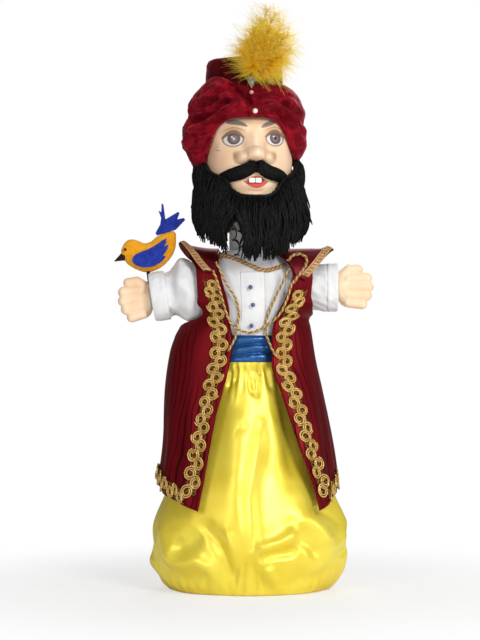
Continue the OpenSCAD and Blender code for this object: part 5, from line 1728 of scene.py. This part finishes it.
# Yarn of the beard, the moustache and the hair behind

# Heights of the beard's upper and lower edge, by angle from the middle of the face
BEARD_TOP = [
    (0, 412), (15, 413), (25, 418), (33, 428), (44, 433), (60, 438), (72, 446), (85, 454), (108, 456),
]
BEARD_FOOT = [(0, 344), (20, 347), (34, 353), (45, 361), (65, 366), (85, 377), (108, 390)]
BEARD_HALF_ANGLE = 99
BEARD_STRANDS = 1080
LOCK_STRANDS = 9
BEARD_POINTS = 18
YARN_R = 0.9
YARN_ACROSS = (0.9, 0.1, 0.3)

# Angle of the thin place on the left of the beard, and the places of the loose curls in front of it
THIN_PLACE = -20
LOOSE_CURLS = [(-19, 386), (-25, 377), (-17, 370), (-28, 390), (-22, 362), (-14, 380)]


def beard_back(a, z):
    chin = 4 * bell(a, 40) * bell(z - 408, 22)
    hang = np.where(z < 420, mix(46, 47, bell(a, 40)), 0)
    flare = 8 * smooth((425 - z) / 50) * smooth(np.abs(a) / 45) + 5 * smooth((378 - z) / 26)
    return np.maximum(head_radius(a, np.maximum(z, 408)) + 2.2 + chin, hang) + flare


def beard_thick(a, t):
    full = np.sin(math.pi * np.minimum(1, 0.12 + 0.9 * t)) ** 0.7
    return 2 + 14 * (0.55 + 0.45 * bell(a, 70)) * full


def round_head(a, r, z):
    return turn_face(ring_points(a, r, r, z))


def beard_point(a, t, depth):
    z = mix(curve(np.abs(a), BEARD_TOP), curve(np.abs(a), BEARD_FOOT), t)
    return round_head(a, beard_back(a, z) + depth * beard_thick(a, np.clip(t, 0, 1)), z)


def yarn_taper(count):
    share = np.linspace(0, 1, count)
    return YARN_R * (0.55 + 0.45 * smooth((1 - share) / 0.12)) * (0.7 + 0.3 * smooth(share / 0.1))


def yarn_core(name, grid, thickness, node):
    """Backing under loose yarn, which takes the place of the part's solid yarn."""
    put(thicken(grid_piece(name, grid, BLACK_YARN), thickness), "head", "black_yarn", node)


def add_locks(yarn):
    """Strands of the beard, gathered in locks and parted at the thin place."""
    share = np.linspace(0, 1, BEARD_POINTS)
    for number in range(BEARD_STRANDS):
        if number % LOCK_STRANDS == 0:
            lock_a = chance.uniform(-BEARD_HALF_ANGLE, BEARD_HALF_ANGLE)
            lock_end = chance.triangular(0.76, 1.02, 0.98)
            lock_sway = chance.uniform(-7, 7)
        start_a = lock_a + chance.gauss(0, 3.5)
        start_a = min(BEARD_HALF_ANGLE, max(-BEARD_HALF_ANGLE, start_a))
        first = chance.uniform(0, 0.4) ** 1.5
        last = min(1.02, lock_end + chance.uniform(-0.12, 0.06))
        t = mix(first, last, share)
        sway = lock_sway * share**2 + chance.uniform(0.5, 2.2) * np.sin(
            share * chance.uniform(4, 9) + chance.uniform(0, 6))
        a = mix(start_a, lock_a, 0.45 * share**2) * (1 + 0.05 * share) + sway
        parted = (-11 if start_a < THIN_PLACE else 11) * bell(start_a - THIN_PLACE, 11)
        a = a + parted * smooth((t - 0.2) / 0.55)
        depth = chance.uniform(0.55, 1.15) * smooth(share / 0.18 + 0.35)
        path = beard_point(np.clip(a, -108, 108), t, depth)
        yarn.add(path, yarn_taper(BEARD_POINTS), beside=YARN_ACROSS)


def add_strays(yarn):
    """Strands that stray from both sides of the beard, less on the left, beside the bird."""
    share = np.linspace(0, 1, BEARD_POINTS)
    for side, stray in ((-1, 0.3), (1, 0.9)):
        for _ in range(48):
            a = side * (chance.uniform(45, 96) + chance.uniform(2, 9) * share**2)
            t = mix(chance.uniform(0.2, 0.6), chance.uniform(0.70, 1.0), share)
            depth = 1.0 + chance.uniform(0.1, stray) * share**2
            yarn.add(beard_point(a, t, depth), yarn_taper(BEARD_POINTS), beside=YARN_ACROSS)


def add_curls(yarn):
    """Loose curls in front of the thin place."""
    for x, z in LOOSE_CURLS:
        turn = np.linspace(0, chance.uniform(5, 8), 26)
        curl = chance.uniform(2.2, 3.6)
        across = x + curl * np.sin(turn) + 0.6 * turn
        up = z - 2.6 * turn + curl * np.cos(turn)
        loop = np.stack([across, -59.5 - 0.8 * np.cos(turn), up], -1)
        yarn.add(turn_face(loop), YARN_R * 0.9, beside=(0.1, 0.9, 0.2))


def make_beard():
    a = np.linspace(98, -98, 90)[None, :]
    t = np.linspace(0, 1, 30)[:, None] * (0.74 - 0.30 * bell(a - THIN_PLACE, 7))
    yarn_core("beard_yarn_core", beard_point(a + 0 * t, t, 0.6), 4, "beard")
    yarn = Strands()
    add_locks(yarn)
    add_strays(yarn)
    add_curls(yarn)
    put(yarn.piece("beard_yarn_strands", BLACK_YARN), "head", "black_yarn")


def moustache_spine(s):
    return 438.5 - 11 * s**2 + 1.5 * cos_d(360 * s)


def moustache_half_h(s):
    return 7.0 * (1 - 0.35 * np.abs(s) ** 3) - 1.8 * bell(s, 0.1)


def moustache_point(s, v, depth):
    x = 35 * s
    z = moustache_spine(s) + v * moustache_half_h(s)
    full = np.sqrt(np.clip(1 - v**2, 0, 1)) * np.sqrt(np.clip(1 - s**2, 0.25, 1))
    y = face_y(x, z) - 1.2 - depth * (1.4 + 5.5 * full)
    return turn_face(np.stack([x + 0 * y, y, z + 0 * y], -1))


def make_moustache():
    s = np.linspace(0.97, -0.97, 60)[None, :]
    v = np.linspace(0.92, -0.92, 14)[:, None]
    yarn_core("moustache_yarn_core", moustache_point(s + 0 * v, v + 0 * s, 0.7), 2, "moustache")
    yarn = Strands()
    points = 16
    share = np.linspace(0, 1, points)
    for side in (-1, 1):
        for _ in range(150):
            first = chance.uniform(-0.02, 0.35)
            last = chance.uniform(0.85, 1.16)
            v = np.clip(chance.uniform(-0.98, 0.98) + 0.25 * (share - 0.5) * chance.uniform(-1, 1), -1, 1)
            s = side * mix(first, last, share)
            path = moustache_point(s, v + 0.06 * np.sin(share * 7 + first * 20), chance.uniform(0.72, 1.05))
            yarn.add(path, yarn_taper(points), beside=(0.1, 0.3, 0.9))
    put(yarn.piece("moustache_yarn_strands", BLACK_YARN), "head", "black_yarn")


def hair_point(a, t, depth):
    z = mix(445, 395, t)
    r = np.maximum(head_radius(a, np.maximum(z, 418)), 40) + 1
    tucked = smooth(0.1 + t / 0.22)
    r = r + (1 + depth * (2 + 6 * np.sin(math.pi * np.clip(0.15 + 0.7 * t, 0, 1)))) * tucked
    return round_head(-a, r, z)


def make_hair():
    t = np.linspace(0, 0.95, 16)[:, None]
    a = np.linspace(257, 103, 60)[None, :]
    yarn_core("hair_yarn_core", hair_point(a + 0 * t, t + 0 * a, 0.6)[:, ::-1], 3, "hair")
    yarn = Strands()
    points = 12
    share = np.linspace(0, 1, points)
    for _ in range(330):
        a = chance.uniform(101, 259) + chance.uniform(-5, 5) * share**2
        a = a + 1.2 * np.sin(share * 6 + chance.uniform(0, 6))
        t = mix(0, chance.uniform(0.86, 1.1), share)
        path = hair_point(a, t, chance.uniform(0.6, 1.05) * smooth(share / 0.2 + 0.4))
        yarn.add(path, yarn_taper(points), beside=(0.9, 0.2, 0.3))
    put(yarn.piece("hair_yarn_strands", BLACK_YARN), "head", "black_yarn")


# Turban: stiff crown and wound wrap

CROWN_X = -4.5
CROWN_R = 41
CROWN_TOP = 557


def make_crown():
    outline = [
        (0.01, CROWN_TOP + 0.5), (8, CROWN_TOP + 0.6), (20, CROWN_TOP + 0.4), (30, CROWN_TOP),
        (CROWN_R - 7, CROWN_TOP - 0.5), (CROWN_R - 4, CROWN_TOP - 1.6), (CROWN_R - 2.3, CROWN_TOP - 3.6),
        (CROWN_R - 1, CROWN_TOP - 9), (CROWN_R - 0.4, CROWN_TOP - 22), (CROWN_R, 509), (CROWN_R - 1.5, 508.6),
        (CROWN_R - 2.4, 509.5), (CROWN_R - 2.6, 530), (CROWN_R - 3.5, CROWN_TOP - 9),
        (CROWN_R - 8, CROWN_TOP - 3.4), (0.01, CROWN_TOP - 2),
    ]
    angle = np.linspace(180, -180, 140, endpoint=False)
    rings = []
    for r, z in along_route(outline, 80):
        soft = 0.7 * crumple(angle * 0.7, np.full_like(angle, z), seed=61, count=5, length=22)
        soft *= min(1, r / 12)
        reach = r + soft
        rings.append(ring_points(angle, reach, reach, z + 0.6 * soft) + np.array([CROWN_X, 0, 0]))
    crown = grid_piece("turban_crown_velvet", np.stack(rings), CROWN_VELVET, closed=True)
    put(crown, "head", "crown_velvet", "turban_crown")


# Height of the wrap's lower edge and share of its fullness, by angle from the front
WRAP_FOOT = [
    (-180, 440), (-130, 440), (-95, 440), (-72, 443), (-55, 466), (-35, 487), (0, 492), (35, 489),
    (55, 472), (72, 456), (95, 451), (130, 444), (180, 440),
]
WRAP_SWELL = [
    (-180, 1.08), (-120, 1.31), (-80, 1.69), (-50, 1.46), (-20, 1.08), (0, 1), (40, 1.08), (80, 1.23),
    (130, 1.15), (180, 1.08),
]
WRAP_HEAD = 524
WRAP_T = 13

# Valleys and ridges of the wound folds, as lines of the photograph's pixels, a rise and a width
WRAP_STROKES = [
    ([(225, 88), (237, 95), (248, 103), (253, 107)], -6.5, 4),
    ([(253, 107), (263, 102), (277, 98), (287, 96)], -6.5, 4),
    ([(256, 110), (268, 107), (282, 110), (294, 119), (301, 132)], 4, 5),
    ([(263, 114), (277, 113), (287, 121), (292, 136)], -7, 3.6),
    ([(277, 101), (290, 109), (299, 120), (305, 135)], -6, 3.6),
    ([(192, 112), (208, 103), (225, 90), (240, 87)], -7, 3.6),
    ([(196, 105), (212, 95), (224, 84)], 4, 4.5),
    ([(183, 124), (200, 119), (220, 106), (232, 101)], -8, 3.6),
    ([(184, 138), (200, 134), (216, 124), (230, 115)], -6, 3.6),
    ([(185, 131), (200, 127), (216, 116)], 3.5, 4),
    ([(184, 153), (203, 146), (218, 132), (226, 125)], -8, 3.6),
    ([(190, 164), (202, 158), (210, 148)], -5, 3.2),
    ([(230, 112), (240, 110), (250, 112)], -2.5, 2.4),
    ([(294, 138), (302, 147), (304, 158)], -4, 3),
]


def wrap_inner(a, z):
    over_crown = np.where(z > 494, CROWN_R + 3, 0)
    return np.maximum(head_radius(a - FACE_TURN, np.minimum(z, 488)) + 2.2, over_crown)


def wrap_point(a, t, out, extra=0.0):
    head = WRAP_HEAD + 11 * bell(a + 40, 24) + 4 * bell(a - 42, 22)
    z = mix(curve(a, WRAP_FOOT), head, t)
    ridge = 1.0 * cos_d(360 * 4 * t + a + 40 * sin_d(2 * a)) * np.sin(math.pi * t)
    bulge = WRAP_T * curve(a, WRAP_SWELL) * np.sqrt(np.sin(math.pi * (0.03 + 0.94 * t)))
    r = wrap_inner(a, z) + out * (bulge + ridge + extra)
    points = ring_points(a, r, r, z)
    points[..., 0] -= 2 * t
    return points


def make_wrap():
    cols = 320
    fullness = 1.7
    a, t = turns_and_rows(110, cols, 1, 0)
    plain = wrap_point(a, t, 1.0)
    x, z = plain[..., 0], plain[..., 2]
    front, back = front_and_back(a, 0.05, 0.35)
    drawn = front * photo_creases(x, z, WRAP_STROKES) + back * photo_creases(-x, z + 10, WRAP_STROKES)
    folds = fullness * drawn
    around = np.radians(a) * 58
    wound = np.abs(np.sin(math.pi * (1.7 * t + a / 62 + 0.25 * sin_d(3 * a)))) ** 0.7
    folds += (1 - 0.85 * front) * (4.5 * wound - 2.5)
    ruched = bell(a + 75, 42)
    folds += 1.8 * ruched * crumple(around, z * 1.3, seed=77, count=4, length=19)
    folds += 0.9 * crumple(around, z, seed=71, count=5, length=24, sharp=0.4)
    folds += 0.3 * crumple(around, z, seed=73, count=6, length=8)
    outer = wrap_point(a, t, 1.0, folds * np.sin(math.pi * t) ** 0.4)
    inner = wrap_point(*turns_and_rows(8, cols, 0, 1), 0.0)
    grid = np.concatenate([outer, inner, outer[:1]])
    piece = grid_piece("turban_wrap_velvet", grid, WRAP_VELVET, closed=True)
    put(piece, "head", "wrap_velvet", "turban_wrap")


# Plume and brooch

# Tips of the stems, as pixels of the photograph
PLUME_TIPS = [
    (268, 10), (262, 20), (254, 30), (247, 40), (242, 52), (276, 15), (284, 24), (290, 36), (292, 50),
    (288, 64), (271, 30), (258, 42), (250, 56), (283, 46), (266, 50), (282, 60), (247, 66), (258, 62),
    (274, 66), (264, 34), (279, 36), (270, 58), (262, 68), (253, 70), (278, 70),
]


PLUME_BASE = np.array([2.4, -43.6, 527.0])
PLUME_TOP_Z = 609
STEM_POINTS = 20
STEM_BARBS = 310
BARB_POINTS = 5


def plume_stem(number):
    """Curved stem from the brooch to one of the tips. The tips lie at different depths."""
    x, z = photo_xz(PLUME_TIPS[number])
    tip = np.array([x, -48 + 13 * math.sin(2.4 * number) + 2 * math.cos(5.1 * number), z])
    bend = np.array([0.12 * (PLUME_BASE[0] - x), -3 + chance.uniform(-2, 2), 7.0])
    middle = mix(PLUME_BASE, tip, 0.5) + bend
    share = np.linspace(0, 1, STEM_POINTS)[:, None]
    return (1 - share) ** 2 * PLUME_BASE + 2 * share * (1 - share) * middle + share**2 * tip


def add_barb(down, stem, ahead):
    """One hair-thin barb that leaves the stem sideways, leans along it, sags and curls."""
    step = np.linspace(0, 1, BARB_POINTS)[:, None]
    along = chance.uniform(0.15, 0.97)
    i = int(along * (STEM_POINTS - 1))
    root = mix(stem[i], stem[i + 1], along * (STEM_POINTS - 1) - i)
    out = np.array([chance.gauss(0, 1), chance.gauss(0, 0.7), chance.gauss(0, 1)])
    out -= ahead[i] * (out @ ahead[i])
    out /= np.linalg.norm(out)
    length = chance.triangular(7, 31, 12) * (0.3 + 0.8 * min(1, along / 0.45))
    lean = chance.uniform(0.05, 0.9)
    sag = np.array([0, 0, -chance.uniform(0.0, 4.0)])
    curl = chance.uniform(-1.6, 1.6) * np.sin(step * chance.uniform(2, 5))
    barb = root + length * step * (lean * ahead[i] + (1.05 - 0.6 * lean) * out)
    barb += sag * step**2 + curl * np.cross(out, ahead[i])
    barb[:, 2] = np.minimum(barb[:, 2], PLUME_TOP_Z)
    core = bell(root[0] - 12, 15) * bell(root[2] - 548, 20)
    tone = float(np.clip(1 - 0.8 * core + chance.uniform(-0.2, 0.2), 0, 1))
    down.add(barb, np.linspace(0.18, 0.06, BARB_POINTS), sides=3, tone=tone)


def make_plume():
    """Soft marabou: hidden stems that fan out from the brooch, each with a cloud of barbs."""
    down = Strands()
    for number in range(len(PLUME_TIPS)):
        stem = plume_stem(number)
        down.add(stem, np.linspace(0.35, 0.08, STEM_POINTS), sides=4, tone=0.6)
        ahead = np.gradient(stem, axis=0)
        ahead /= np.linalg.norm(ahead, axis=1, keepdims=True)
        for _ in range(STEM_BARBS):
            add_barb(down, stem, ahead)
    put(down.piece("plume_dyed_down", DYED_DOWN), "head", "feather", "plume")


def make_brooch_stone():
    """Three-cornered stone, cut with a flat table."""
    lean = 70

    def loop(shrink, height):
        side, top, foot = 7.5 - 1.7 * shrink, 8 - shrink, -8 + 2 * shrink
        corners = np.array([(-side, top), (side, top), (0, foot)])
        share = np.linspace(0, 1, 8, endpoint=False)[:, None]
        points = np.concatenate([mix(corners[k], corners[(k + 1) % 3], share) for k in range(3)])
        rounded = 0.92 * points + 0.04 * np.roll(points, 4, 0) + 0.04 * np.roll(points, -4, 0)
        flat = np.concatenate([rounded, np.full((24, 1), height)], 1)
        y = flat[:, 1] * cos_d(lean) - flat[:, 2] * sin_d(lean)
        z = flat[:, 1] * sin_d(lean) + flat[:, 2] * cos_d(lean)
        return np.stack([flat[:, 0], y, z], -1) + np.array([3, -50.3, 528])

    loops = [loop(3.6, 3.5), loop(3.2, 3.4), loop(1.75, 2.6), loop(1.4, 2.2), loop(1.4, 0.9)]
    middle = loops[0].mean(axis=0)
    grid = np.stack([np.broadcast_to(middle, loops[0].shape)] + loops)
    stone = grid_piece("brooch_cut_stone", grid[:, ::-1], GREY_STONE, closed=True)
    put(stone, "head", "grey_stone", "brooch_stone")


# Bird

# Upper and lower edge of the stuffed body, then the felt cuts: places across and up
BIRD_TOP = [
    (-134, 357), (-131, 363), (-126, 367), (-119, 367), (-110, 363.5), (-103, 365), (-97, 370),
    (-88, 374), (-79, 376), (-76, 373),
]
BIRD_FOOT = [
    (-134, 352), (-131, 347), (-127, 342), (-119, 337), (-107, 333.5), (-97, 336), (-89, 341), (-81, 350),
    (-77, 359), (-76, 367),
]
WING_OUTLINE = [
    (-122, 345.9), (-121.3, 348.3), (-119.4, 350.6), (-117, 352.4), (-114.3, 353.8), (-104.8, 357.4),
    (-96, 362.3), (-90.2, 366.5), (-85.8, 369), (-86.3, 364), (-88.6, 360), (-83.6, 362), (-85.5, 356),
    (-90, 350.4), (-86.5, 349.7), (-90.2, 344.6), (-97.5, 340), (-102.2, 338.6), (-107, 338),
    (-111.2, 338.2), (-115, 339), (-118, 340.3), (-120.3, 342), (-121.6, 343.8),
]
TAIL_OUTLINE = [
    (-96.5, 371.8), (-76.5, 378), (-75.5, 379), (-66.5, 388.5), (-68, 390.5), (-75, 389), (-72.5, 395.5),
    (-74, 397), (-87.5, 389), (-89.5, 404.5), (-91.5, 406), (-91.8, 396.5), (-95, 398.5), (-92, 390.5),
    (-93, 383.5), (-98, 374.5),
]
LEG_OUTLINE = [(-107.5, 334), (-103.4, 334), (-103.6, 321), (-105.5, 318.8)]
BIRD_HALF_T = 10
FELT_T = 1.8


def bird_half_t(x):
    return np.maximum(BIRD_HALF_T * np.sqrt(np.clip(1 - ((x + 106) / 30.5) ** 2, 0, 1)), 1.2)


def bird_ring(x, turn):
    top, foot = curve(x, BIRD_TOP), curve(x, BIRD_FOOT)
    seam = 0.45 * (bell(turn - 90, 7) + bell(turn - 270, 7))
    half_h = (top - foot) / 2 + seam
    return np.stack([x + 0 * turn, bird_half_t(x) * cos_d(turn), (top + foot) / 2 + half_h * sin_d(turn)], -1)


def felt_piece(name, outline, y, thickness, material):
    """Felt cut to an outline and laid upright, with soft edges."""
    work = bmesh.new()
    corners = [work.verts.new((x * MM, y * MM, z * MM)) for x, z in outline]
    face = work.faces.new(corners)
    sheet = bmesh.ops.extrude_face_region(work, geom=[face])
    moved = [g for g in sheet["geom"] if isinstance(g, bmesh.types.BMVert)]
    bmesh.ops.translate(work, verts=moved, vec=(0, thickness * MM, 0))
    bmesh.ops.recalc_face_normals(work, faces=work.faces)
    piece = worked_object(name, work, material, False)
    return modify(piece, "Soft edge", "BEVEL", width=0.5 * MM, segments=3, limit_method="ANGLE")


def make_bird_body():
    share = np.linspace(0, 1, 60)
    x = mix(-134.0, -76.3, 0.5 - 0.5 * np.cos(math.pi * share))[:, None]
    turn = np.linspace(0, 360, 64, endpoint=False)[None, :]
    grid = bird_ring(x, turn)
    ends = [np.broadcast_to(grid[k].mean(axis=0), grid[:1].shape) for k in (0, -1)]
    grid = np.concatenate([ends[0], grid, ends[1]])
    body = grid_piece("bird_stuffed_body", grid[:, ::-1], ORANGE_FELT, closed=True)
    put(body, "left_arm", "orange_felt", "bird_body")


def make_bird_felts():
    """Wings on both sides, tail and leg: name, outline, place of the near face, thickness, slot and nodes."""
    wing_y = BIRD_HALF_T + 0.3
    felts = {"blue_felt": BLUE_FELT, "black_felt": BLACK_FELT}
    cuts = [
        ("bird_wing_near", WING_OUTLINE, -wing_y - FELT_T, FELT_T, "blue_felt", ("bird_wings",)),
        ("bird_wing_far", WING_OUTLINE, wing_y, FELT_T, "blue_felt", ()),
        ("bird_tail_felt", TAIL_OUTLINE, -1.5, 3, "blue_felt", ("bird_tail",)),
        ("bird_leg_felt", LEG_OUTLINE, -4, 3, "black_felt", ("bird_leg",)),
    ]
    for name, outline, y, thickness, slot, nodes in cuts:
        put(felt_piece(name, outline, y, thickness, felts[slot]), "left_arm", slot, *nodes)


def make_beak():
    root = np.array([-130.0, 0, 350.5])
    tip = np.array([-141.4, 0, 344.8])
    beak = Strands()
    step = np.linspace(0, 1, 12)
    beak.add(mix(root, tip, step[:, None]), mix(5.6, 0.35, step**0.9), sides=16, beside=(0, 1, 0))
    put(beak.piece("bird_beak_felt", BROWN_FELT), "left_arm", "brown_felt", "bird_beak")


# The whole puppet

bpy.context.scene.view_settings.view_transform = "Standard"
make_camera()
make_lights()
make_world()
make_floor()
make_cords()
make_skirt()
make_lining()
make_sash()
make_coat()
make_coat_braids()
make_collar()
make_collar_braid()
make_shirt()
make_placket()
make_neckline()
make_arms()
make_neck()
make_head()
make_teeth()
make_beard()
make_moustache()
make_hair()
make_crown()
make_wrap()
make_plume()
make_brooch_stone()
make_bird_body()
make_bird_felts()
make_beak()
finish_kept_nodes()
